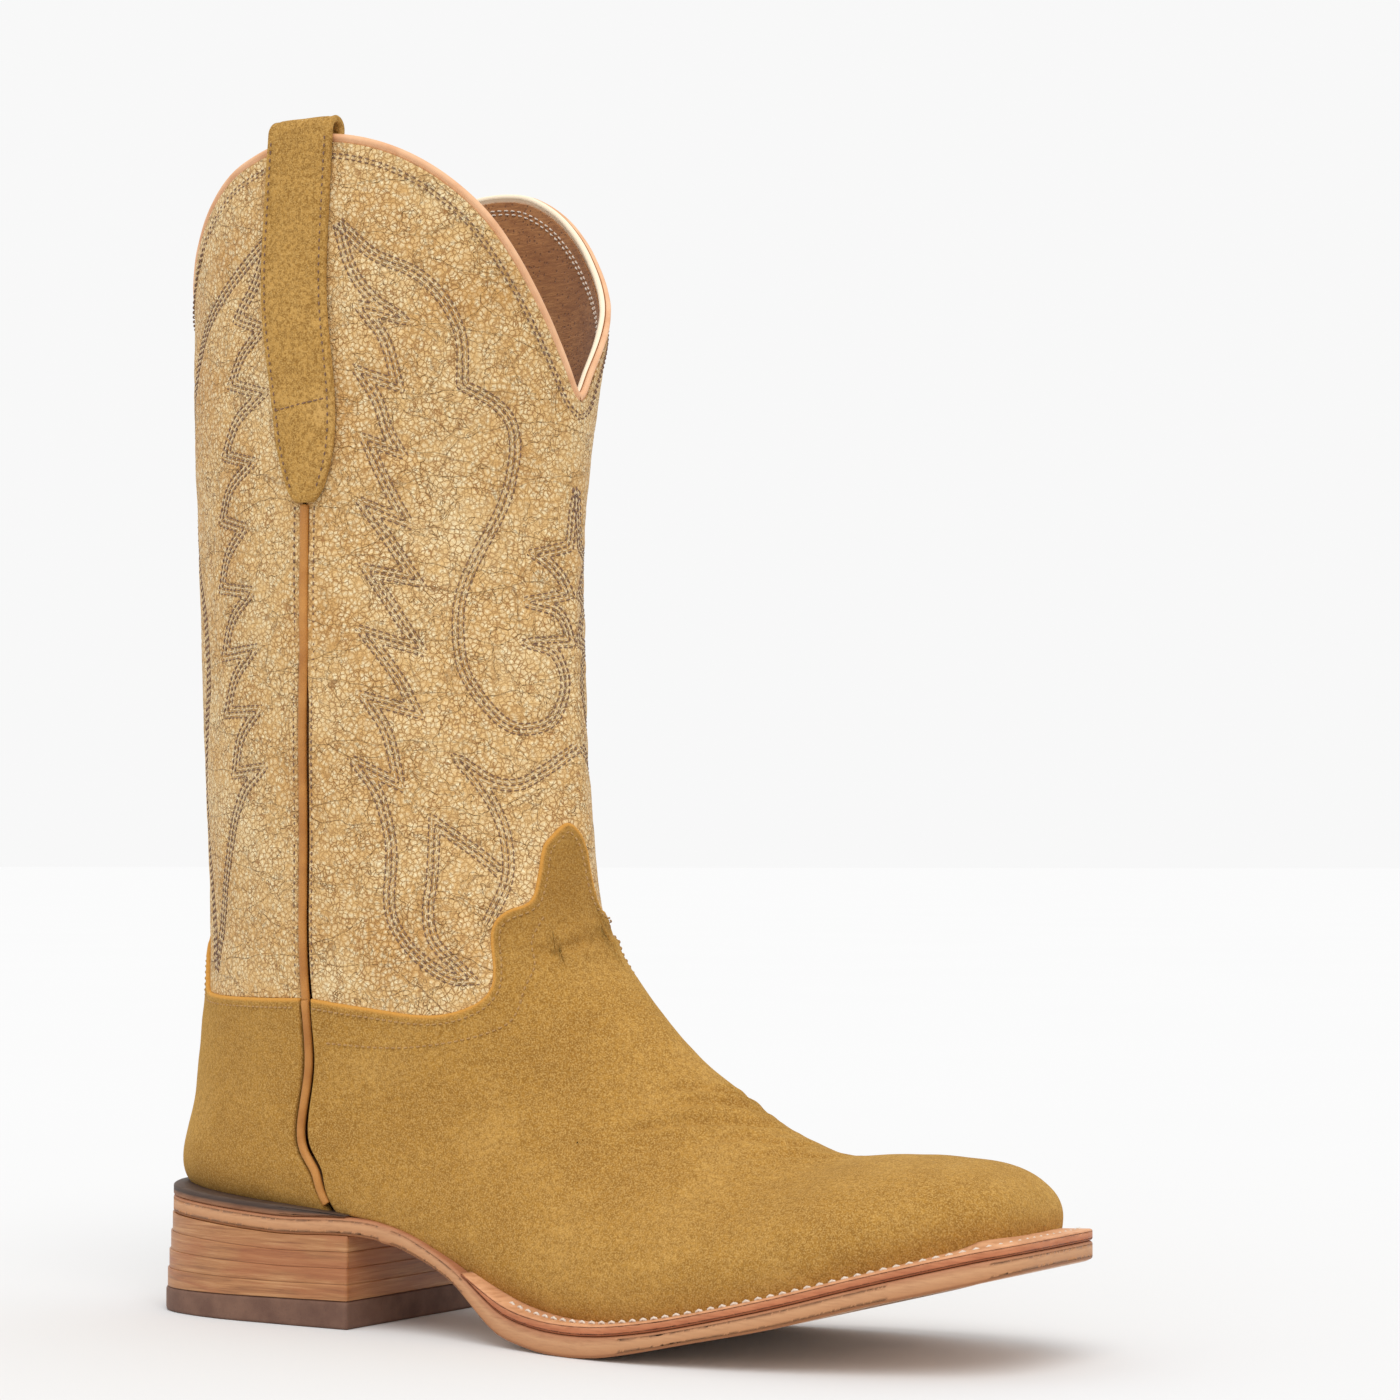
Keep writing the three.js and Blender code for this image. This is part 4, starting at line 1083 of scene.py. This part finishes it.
def swept(name, route, side, up, profile, look, replaced, flip=False):
    """A profile, a list of (side, up), carried along a route and closed at its ends."""
    profile = np.array(profile)[None]
    grid = route[:, None] + profile[..., :1] * side[:, None] + profile[..., 1:] * up[:, None]
    return add_mesh(name, grid.reshape(-1, 3), rod_faces(*grid.shape[:2], flip), look, [replaced])


def seam_line(side, first=PIPING_TOP, last=7.95):
    t = np.linspace(station_at(first, 90), last, 420)
    return Line(t, side * seam_angle(t, side))


def bead(radius_side, radius_up, count=14):
    turn = 2 * np.pi * np.arange(count) / count
    return [(radius_side * math.cos(a), radius_up * math.sin(a)) for a in turn]


def piping(name, side):
    line = seam_line(side)
    out = -inward(line.t, line.deg)
    proud = np.where(line.points[:, 2] < 95, 0.55, 0.1)
    wobble = 0.12 * noise(line.points, 9, 71)
    route = line.points + out * (proud + wobble)[:, None]
    across, up = frames(route, out)
    swept(f"piping_cord_{name}", route, across, up, bead(PIPING_RADIUS, PIPING_RADIUS * 0.9), PIPING,
          f"piping_{name}")


def topline_route(low, high, depth, lift):
    """Line along the shaft's edge at a depth under the skin, raised above it."""
    deg = np.linspace(low, high, 700)
    t = station_at(edge_height(TOPLINE, deg), deg)
    route = under(t, deg, np.full(len(deg), float(depth)))
    out = -inward(t, deg)
    up = unit(np.cross(out, unit(np.gradient(route, axis=0))))
    up = np.where(up[:, 2:] < 0, -up, up)
    return route + up * lift, out, up


def binding(name, low, high, replaced):
    """A folded strip over the edge, rolled into two beads with a groove between them."""
    route, out, up = topline_route(low, high, 1.65, BINDING_LIFT + 0.7)
    turn = np.radians(np.arange(-60, 181, 20))
    outer_bead = [(BEAD_PLACE + BEAD * math.cos(a), BEAD * math.sin(a)) for a in turn]
    inner_bead = [(-x, z) for x, z in outer_bead[::-1]]
    profile = outer_bead + inner_bead + [(-1.1, -2.2), (1.1, -2.2)]
    wave = 1 + 0.04 * noise(route, 6, 81)
    side = out * wave[:, None]
    piece = swept(name, route, side, up, profile, BINDING, replaced, flip=True)
    half = np.where(np.degrees(turn) < 130, 0.0, 0.5)
    across = np.concatenate([half, 1 - half[::-1], [1.0, 0.0]])
    mark(piece, "across", np.tile(across, len(route)))


for place, side in SIDES.items():
    piping(place, side)
BINDINGS = {"front": (BINDING_JOIN - SEAM_TOP[-1], SEAM_TOP[1] - BINDING_JOIN),
            "back": (SEAM_TOP[1] + BINDING_JOIN, 360 - SEAM_TOP[-1] - BINDING_JOIN)}
for place, (low, high) in BINDINGS.items():
    binding(f"binding_roll_{place}", low, high, f"binding_{place}")


# ---- pull straps ----
def side_point(x, z, side, depth):
    """Point of the skin's side at an x and a height."""
    x, z, depth = np.broadcast_arrays(x, z, depth)
    z = np.minimum(z, SHAFT_TOP)
    def ahead(deg):
        return skin(station_at(z, side * deg), side * deg)[..., 0] > x
    deg = bisect(ahead, 30, 150, x.shape, 18)
    return under(station_at(z, side * deg), side * deg, depth)


def strap_path(arch_foot):
    """Height, depth, leg height and turn along the middle of the strap: up, over the topline and down."""
    rows = []
    middle = STRAP_OUTSIDE + STRAP_THICK / 2
    ends = [0, 0.15, 0.4, 0.8]
    for z in [STRAP_TIP + e for e in ends] + list(np.linspace(STRAP_TIP + 1.4, arch_foot, 90)):
        rows.append((z, middle, z, 0.0))
    radius = STRAP_RADIUS - STRAP_THICK / 2
    for a in np.linspace(0, np.pi, 26)[1:]:
        rows.append((arch_foot + radius * math.sin(a), middle + radius * (1 - math.cos(a)), arch_foot, a))
    inner = STRAP_INSIDE + STRAP_THICK / 2
    down = list(np.linspace(arch_foot - 1, STRAP_INNER_END + 1.4, 50))
    down += [STRAP_INNER_END + e for e in ends[::-1]]
    for z in down:
        rows.append((z, inner, arch_foot, np.pi))
    return np.array(rows)


def strap_surface(side, rows, across, proud):
    """Points of the strap, for rows of a path, places across from -1 to 1 and heights above its middle."""
    z, depth, leg, turn = (c[:, None] for c in rows.T)
    half = follow(STRAP_HALF, leg)
    x = follow(STRAP_CENTRE[side], z) + half * across[None, :]
    foot = side_point(x, z, side, depth - proud * np.cos(turn))
    arch = z > STRAP_ARCH_FOOT[side]
    foot[..., 2] = np.where(arch, z + proud * np.sin(turn), foot[..., 2])
    level = side_point(x, np.full_like(x, STRAP_ARCH_FOOT[side]), side, depth - proud * np.cos(turn))
    foot[..., :2] = np.where(arch[..., None], level[..., :2], foot[..., :2])
    return foot


def pull_strap(name, side):
    rows = strap_path(STRAP_ARCH_FOOT[side])
    across = np.concatenate([[-1, -0.985, -0.955, -0.9], np.linspace(-0.82, 0.82, 19),
                             [0.9, 0.955, 0.985, 1]])
    proud = np.full((len(rows), len(across)), STRAP_THICK / 2)
    half = follow(STRAP_HALF, rows[:, 2])
    from_side = (1 - np.abs(across))[None, :] * half[:, None]
    outer_end = np.where(rows[:, 3] == 0, rows[:, 0] - STRAP_TIP, 9)
    inner_end = np.where(rows[:, 3] >= np.pi, rows[:, 0] - STRAP_INNER_END, 9)
    edge = np.minimum(from_side, np.minimum(outer_end, inner_end)[:, None])
    outer = strap_surface(side, rows, across, proud)
    relief = 0.2 * waves(outer, 11, 91 + side) * smoothstep(edge, 0, 3)
    relief -= 0.3 * np.exp(-(((edge - STRAP_ROW) / 0.5) ** 2))
    cross = rows[:, 0][:, None] - (STRAP_CROSS + STRAP_SLANT * across[None, :])
    relief -= 0.5 * np.exp(-((cross / 0.7) ** 2)) * (rows[:, 3] == 0)[:, None]
    outer = strap_surface(side, rows, across, proud + relief - rounded(edge, 0.8))
    inner = strap_surface(side, rows, across, -proud + 0.7 * rounded(edge, 0.8))
    points = np.concatenate([outer.reshape(-1, 3), inner.reshape(-1, 3)])
    n, m = outer.shape[:2]
    flip = side < 0
    faces = grid_faces(n, m, flip=not flip) + grid_faces(n, m, n * m, flip=flip)
    rim = [(0, j) for j in range(m)] + [(i, m - 1) for i in range(1, n)]
    rim += [(n - 1, j) for j in range(m - 2, -1, -1)] + [(i, 0) for i in range(n - 2, 0, -1)]
    for (i0, j0), (i1, j1) in zip(rim, rim[1:] + rim[:1]):
        face = [i0 * m + j0, i1 * m + j1, n * m + i1 * m + j1, n * m + i0 * m + j0]
        faces.append(face if not flip else face[::-1])
    add_mesh(f"pull_strap_suede_{name}", points, faces, STRAP_SUEDE, [f"pull_strap_{name}"])


for place, side in SIDES.items():
    pull_strap(place, side)


# ---- sole and heel ----
def sole_outline(count=640, stretch=0.0):
    """Even points round the sole, from the middle of the heel's back by the outer side."""
    curve = catmull(SOLE_OUTLINE, 40, closed=True)
    curve = np.concatenate([curve, curve[:1]])
    route = resample(curve, np.linspace(0, lengths(curve)[-1], count, endpoint=False))
    route[:, 0] = np.where(route[:, 0] < HEEL_BREAST, HEEL_BREAST - (HEEL_BREAST - route[:, 0])
                           * (1 + stretch / HEEL_BREAST), route[:, 0])
    return route


def outline_inward(route, cyclic=True):
    step = np.roll(route, -1, axis=0) - np.roll(route, 1, axis=0) if cyclic else np.gradient(route, axis=0)
    step = unit(step)
    return np.stack([-step[:, 1], step[:, 0]], axis=1)


def strip_share(x):
    """Share of the welt's or rand's thickness between outsole and upper: none in the waist."""
    return np.maximum(1 - smoothstep(x, 54, WAIST), smoothstep(x, WELT_BACK - 8, WELT_BACK + 18))


def outsole_top(x):
    return seat(x) - (WELT_THICK + LAYER_GAP) * strip_share(x)


def heel_seat(x):
    return outsole_top(x) - OUTSOLE_THICK


def outsole_bottom(x):
    return np.where(x < WAIST, heel_seat(x), np.maximum(follow(TREAD, x), 0))


def cap_top(x):
    return CAP_BACK + CAP_RISE * x / HEEL_BREAST


def ring_levels(bevel, walls=5):
    """Inset and share of the height for the rings of a bevelled wall, from the bottom up."""
    turn = np.linspace(0, np.pi / 2, 4)
    low = [(bevel * (1 - math.sin(a)), bevel * (1 - math.cos(a)), 0) for a in turn]
    high = [(inset, -rise, 1) for inset, rise, _ in low[::-1]]
    middle = [(0, 0, share) for share in np.linspace(0, 1, walls + 2)[1:-1]]
    return low + middle + high


def zip_faces(ring, flip):
    """Faces across a ring, joining each point to the one opposite."""
    count = len(ring)
    faces = []
    for k in range(count // 2):
        face = [ring[k], ring[(k + 1) % count], ring[(count - k - 1) % count], ring[(count - k) % count]]
        face = list(dict.fromkeys(face))
        if len(face) > 2:
            faces.append(face[::-1] if flip else face)
    return faces


UNDERSIDE_SHARES = [0.94, 0.7, 0.45, 0.2]  # of the way in to the middle
UNDERSIDE_INSETS = [15, 11, 8.6, 7.9, 7.5, 7.1, 6.4, 4.5, 2.6, 1.4]  # close together at the groove


def layer(name, route, low, high, look, replaces, bevel=0.5, bottom_relief=None):
    """A solid layer of sole or heel: an outline, with its bottom and top heights by x."""
    inner = outline_inward(route)
    spine = np.clip(route[:, 0], route[:, 0].min() + 26, route[:, 0].max() - 24)
    axis = np.stack([spine, -4 * smoothstep(spine, 120, 220)], axis=1)
    rings = []
    marks = []
    def ring(plan, z, level, tread):
        rings.append(np.column_stack([plan, z]))
        marks.append((np.broadcast_to(level, len(plan)), np.full(len(plan), tread)))
    start = route + inner * UNDERSIDE_INSETS[0]
    for share in UNDERSIDE_SHARES:
        plan = lerp(start, axis, share)
        ring(plan, low(plan[:, 0]), 0.0, 1.0)
    for inset in UNDERSIDE_INSETS:
        plan = route + inner * inset
        lift = bottom_relief(inset) if bottom_relief else 0
        ring(plan, low(plan[:, 0]) + lift, 0.0, 1.0)
    for inset, rise, share in ring_levels(bevel):
        plan = route + inner * inset
        z0, z1 = low(route[:, 0]), high(route[:, 0])
        z = lerp(z0, z1, share) + rise
        ring(plan, z, np.clip((z - z0) / np.maximum(z1 - z0, 0.2), 0, 1), 0.0)
    for inset in (2.5, 8, 15):
        plan = route + inner * inset
        ring(plan, high(plan[:, 0]), 1.0, 0.0)
    for share in (0.5, 0.94):
        plan = lerp(start, axis, share)
        ring(plan, high(plan[:, 0]), 1.0, 0.0)
    n, m = len(rings), len(route)
    faces = grid_faces(n, m, cyclic=True)
    faces += zip_faces(list(range(m)), True) + zip_faces([(n - 1) * m + k for k in range(m)], False)
    piece = add_mesh(name, np.concatenate(rings), faces, look, replaces)
    for label, values in zip(("level", "tread"), zip(*marks)):
        mark(piece, label, np.concatenate(values))


def strip(name, route, low, high, width, look, replaces, bevel=0.5):
    """An open strip that follows part of the outline, as wide as given."""
    inner = outline_inward(route, cyclic=False)
    section = ring_levels(bevel) + [(width * 0.4, 0, 1), (width * 0.75, 0, 1), (width, 0, 1), (width, 0, 0)]
    rings = []
    levels = []
    for inset, rise, share in section:
        plan = route + inner * inset
        z0, z1 = low(route[:, 0]), high(route[:, 0])
        rise = np.clip(rise, -0.45 * (z1 - z0), 0.45 * (z1 - z0))
        z = lerp(z0, z1, share) + rise
        rings.append(np.column_stack([plan, z]))
        levels.append(np.clip((z - z0) / np.maximum(z1 - z0, 0.2), 0, 1))
    grid = np.stack(rings, axis=1)
    rows, columns = grid.shape[:2]
    faces = rod_faces(rows, columns, flip=True)
    piece = add_mesh(name, grid.reshape(-1, 3), faces, look, replaces)
    mark(piece, "level", np.stack(levels, axis=1).reshape(-1))


def sole_groove(inset):
    """The channel that hides the sole stitching."""
    return GROOVE_DEPTH * math.exp(-(((inset - GROOVE_INSET) / 0.5) ** 2))


def heel_outline(share):
    """Even points round a heel layer, with its straight breast."""
    route = sole_outline(900, HEEL_FLARE * share)
    ahead = np.flatnonzero(route[:, 0] >= HEEL_BREAST)
    outer, inner = route[:ahead[0]], route[ahead[-1] + 1:]
    edge = np.array([[HEEL_BREAST, outer[-1, 1]], [HEEL_BREAST, inner[0, 1]]])
    loop = np.concatenate([outer, edge, inner, outer[:1]])
    return resample(loop, np.linspace(0, lengths(loop)[-1], 300, endpoint=False))


def heel_height(share):
    return lambda x: lerp(heel_seat(x) - 0.05, cap_top(x) + 0.05, share)


def welt_low(x):
    return outsole_top(x) + 0.1


def rand_low(x):
    return np.minimum(outsole_top(x) + 0.1, seat(x) - 0.1)


layer("outsole_leather", sole_outline(), outsole_bottom, outsole_top, SOLE, ["outsole"],
      0.9, sole_groove)
for k in range(HEEL_LIFTS):
    middle = heel_outline((k + 0.5) / HEEL_LIFTS)
    low, high = heel_height((k + 1) / HEEL_LIFTS), heel_height(k / HEEL_LIFTS)
    node_name = f"heel_lift_{k + 1}"
    layer(f"heel_lift_leather_{k + 1}", middle, low, high, STACK, [node_name], 0.22)
layer("heel_cap_rubber", heel_outline(1.1), np.zeros_like, cap_top, RUBBER, ["heel_cap"], 0.9)

outline = sole_outline()
forepart = outline[outline[:, 0] > WELT_BACK]
strip("welt_strip", forepart, welt_low, seat, WELT_WIDTH, WELT, ["welt"], 0.7)
rear = np.roll(outline, len(outline) // 2, axis=0)
rear = rear[rear[:, 0] < HEEL_BREAST]
strip("heel_rand_strip", rear, rand_low, seat, RAND_WIDTH, RAND, ["heel_rand"], 0.5)


# ---- stitches ----
def sew_pattern():
    for where, lines in (("front", FRONT_LINES), ("back", BACK_LINES)):
        threads = {"brown": Thread(PATTERN_THREAD), "cream": Thread(PATTERN_THREAD)}
        for line in lines:
            for side, colour in THREAD_ROWS:
                row = line.offset(side)
                out = -inward(row.t, row.deg)
                relief = shaft_relief(row.points, np.full(len(row.points), abs(side)))
                threads[colour].sew(row.points + out * relief[:, None], out, PATTERN_PITCH, 0.88)
        for colour, thread in threads.items():
            thread.build(f"pattern_stitches_{where}_{colour}", THREADS[colour])


def sew_row(thread, line, side, relief, pitch=2.0, share=0.7):
    """One row beside a line, on a surface that stands proud by its relief."""
    row = line.offset(side)
    out = -inward(row.t, row.deg)
    thread.sew(row.points + out * relief(row.points)[:, None], out, pitch, share)


def shaft_height(lines):
    return lambda points: shaft_relief(points, nearest_line(points, lines))


def foot_height(points):
    return suede_relief(points) + FOOT_PROUD


def no_relief(points):
    return np.zeros(len(points))


def edge_line(curve, low, high, count=900):
    deg = np.linspace(low, high, count)
    return Line(station_at(edge_height(curve, deg), deg), deg)


def sew_trims():
    brown, tan = Thread(0.26), Thread(0.32)
    front, back = shaft_height(FRONT_LINES), shaft_height(BACK_LINES)
    for low, high in BINDINGS.values():
        edge = edge_line(TOPLINE, low + 1, high - 1)
        for side in TOPLINE_ROWS:
            sew_row(brown, edge, side, no_relief, 2.2)
    for side in (1, -1):
        seam = seam_line(side, last=5.2)
        for gap, height in ((-SEAM_ROWS[0], front), (SEAM_ROWS[1], back)):
            sew_row(brown, seam, side * gap, height, 2.2, 0.6)
    sew_row(tan, edge_line(VAMP_EDGE, -94, 94, 1400), FOOT_ROW, foot_height)
    for mirror in (False, True):
        sew_row(tan, trace(VAMP_ROW, mirror), 0, foot_height)
    sew_row(tan, edge_line(COUNTER_EDGE, 99, 261), FOOT_ROW, foot_height)
    brown.build("trim_stitches_brown", THREADS["brown"])
    tan.build("foot_stitches_tan", THREADS["tan"])


def strap_line(side, places, heights):
    """Points on the outside of the strap, by place across and height."""
    proud = np.full((1, 1), STRAP_THICK / 2 - 0.1)
    rows = np.array([(z, STRAP_OUTSIDE + STRAP_THICK / 2, z, 0.0) for z in heights])
    return np.array([strap_surface(side, row[None], np.array([place]), proud)[0, 0]
                     for row, place in zip(rows, places)])


def sew_straps():
    thread = Thread(0.24)
    for side in (1, -1):
        out = np.array([0, -side, 0.0])
        heights = np.linspace(244, STRAP_ARCH_FOOT[side] - 1, 60)
        inset = 1 - STRAP_ROW / follow(STRAP_HALF, heights)
        for way in (-1, 1):
            line = strap_line(side, way * inset, heights)
            thread.sew(line, np.tile(out, (len(line), 1)), 2.3, 0.55)
        places = np.linspace(-0.9, 0.9, 20)
        line = strap_line(side, places, STRAP_CROSS + STRAP_SLANT * places)
        thread.sew(line - 0.25 * out, np.tile(out, (20, 1)), 2.0, 0.9)
    thread.build("strap_stitches", THREADS["brown"])


def sew_welt():
    thread = Thread(0.45, 6)
    route = forepart[forepart[:, 0] > WELT_SEAM_START]
    plan = route + outline_inward(route, cyclic=False) * WELT_ROW
    line = np.column_stack([plan, seat(plan[:, 0]) + 0.15])
    thread.sew(line, np.tile([0, 0, 1.0], (len(line), 1)), WELT_PITCH, 0.74)
    thread.build("welt_stitches", THREADS["white"])


def sew_lining():
    """Two rows inside, below the binding."""
    thread = Thread(0.3, 5)
    for low, high in BINDINGS.values():
        for drop in LINING_ROWS:
            route, out, _ = topline_route(low + 1.5, high - 1.5, LINING_DEPTH + LINING + 0.1, -drop)
            thread.sew(route, -out, 2.6, 0.7)
    thread.build("binding_stitches", THREADS["white"])


sew_pattern()
sew_trims()
sew_straps()
sew_welt()
sew_lining()

# ---- the rest of the CAD nodes keep their shape ----
KEPT = {"vamp_lining": LINING_SKIN, "heel_lining": LINING_SKIN, "footbed": LINING_SKIN, "toe_box": BOARD,
        "heel_stiffener": BOARD, "insole": BOARD, "shank": STEEL, "bottom_filler": CORK}
KEPT.update({f"heel_nail_{k}": STEEL for k in range(1, 6)})
for node_name, look in KEPT.items():
    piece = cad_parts[node_name]
    piece.data.materials.clear()
    piece.data.materials.append(look)


# ---- studio ----
def add_floor():
    mesh = bpy.data.meshes.new("studio_floor")
    corners = [(-1, -1), (1, -1), (1, 1), (-1, 1)]
    mesh.from_pydata([(x * FLOOR_SIZE, y * FLOOR_SIZE, 0) for x, y in corners], [], [(0, 1, 2, 3)])
    look = Look("studio_floor", 0.9, specular_ior_level=0.0)
    dark, light = ((tone, tone, tone, 1) for tone in (FLOOR_TONE, FLOOR_TONE + 0.004))
    tone = look.ramp(look.noise(400.0, 1.0), (0.3, dark), (0.7, light))
    mesh.materials.append(look.finish(tone))
    floor = bpy.data.objects.new("studio_floor", mesh)
    bpy.context.scene.collection.objects.link(floor)


def add_sun():
    """A very wide soft light, the same over the whole floor."""
    lamp = bpy.data.lights.new("key", "SUN")
    lamp.energy = SUN_STRENGTH
    lamp.angle = math.radians(SUN_SPREAD)
    sun = bpy.data.objects.new("key", lamp)
    sun.rotation_euler = (-Vector(SUN_DIRECTION)).to_track_quat("-Z", "Y").to_euler()
    bpy.context.scene.collection.objects.link(sun)


def add_world():
    world = bpy.data.worlds.new("studio")
    world.use_nodes = True
    background = world.node_tree.nodes["Background"]
    background.inputs["Color"].default_value = (WORLD_TONE, WORLD_TONE, WORLD_TONE, 1)
    background.inputs["Strength"].default_value = 1.0
    bpy.context.scene.world = world


def add_camera():
    camera = bpy.data.cameras.new("photo_camera")
    camera.sensor_width = CAMERA_SENSOR
    camera.lens = CAMERA_LENS
    view = bpy.data.objects.new("photo_camera", camera)
    view.location = in_frame(CAMERA_PLACE).tolist()
    view.rotation_euler = [math.radians(turn) for turn in CAMERA_TURN]
    bpy.context.scene.collection.objects.link(view)
    bpy.context.scene.camera = view


add_floor()
add_world()
add_sun()
add_camera()
bpy.context.scene.view_settings.view_transform = "Standard"
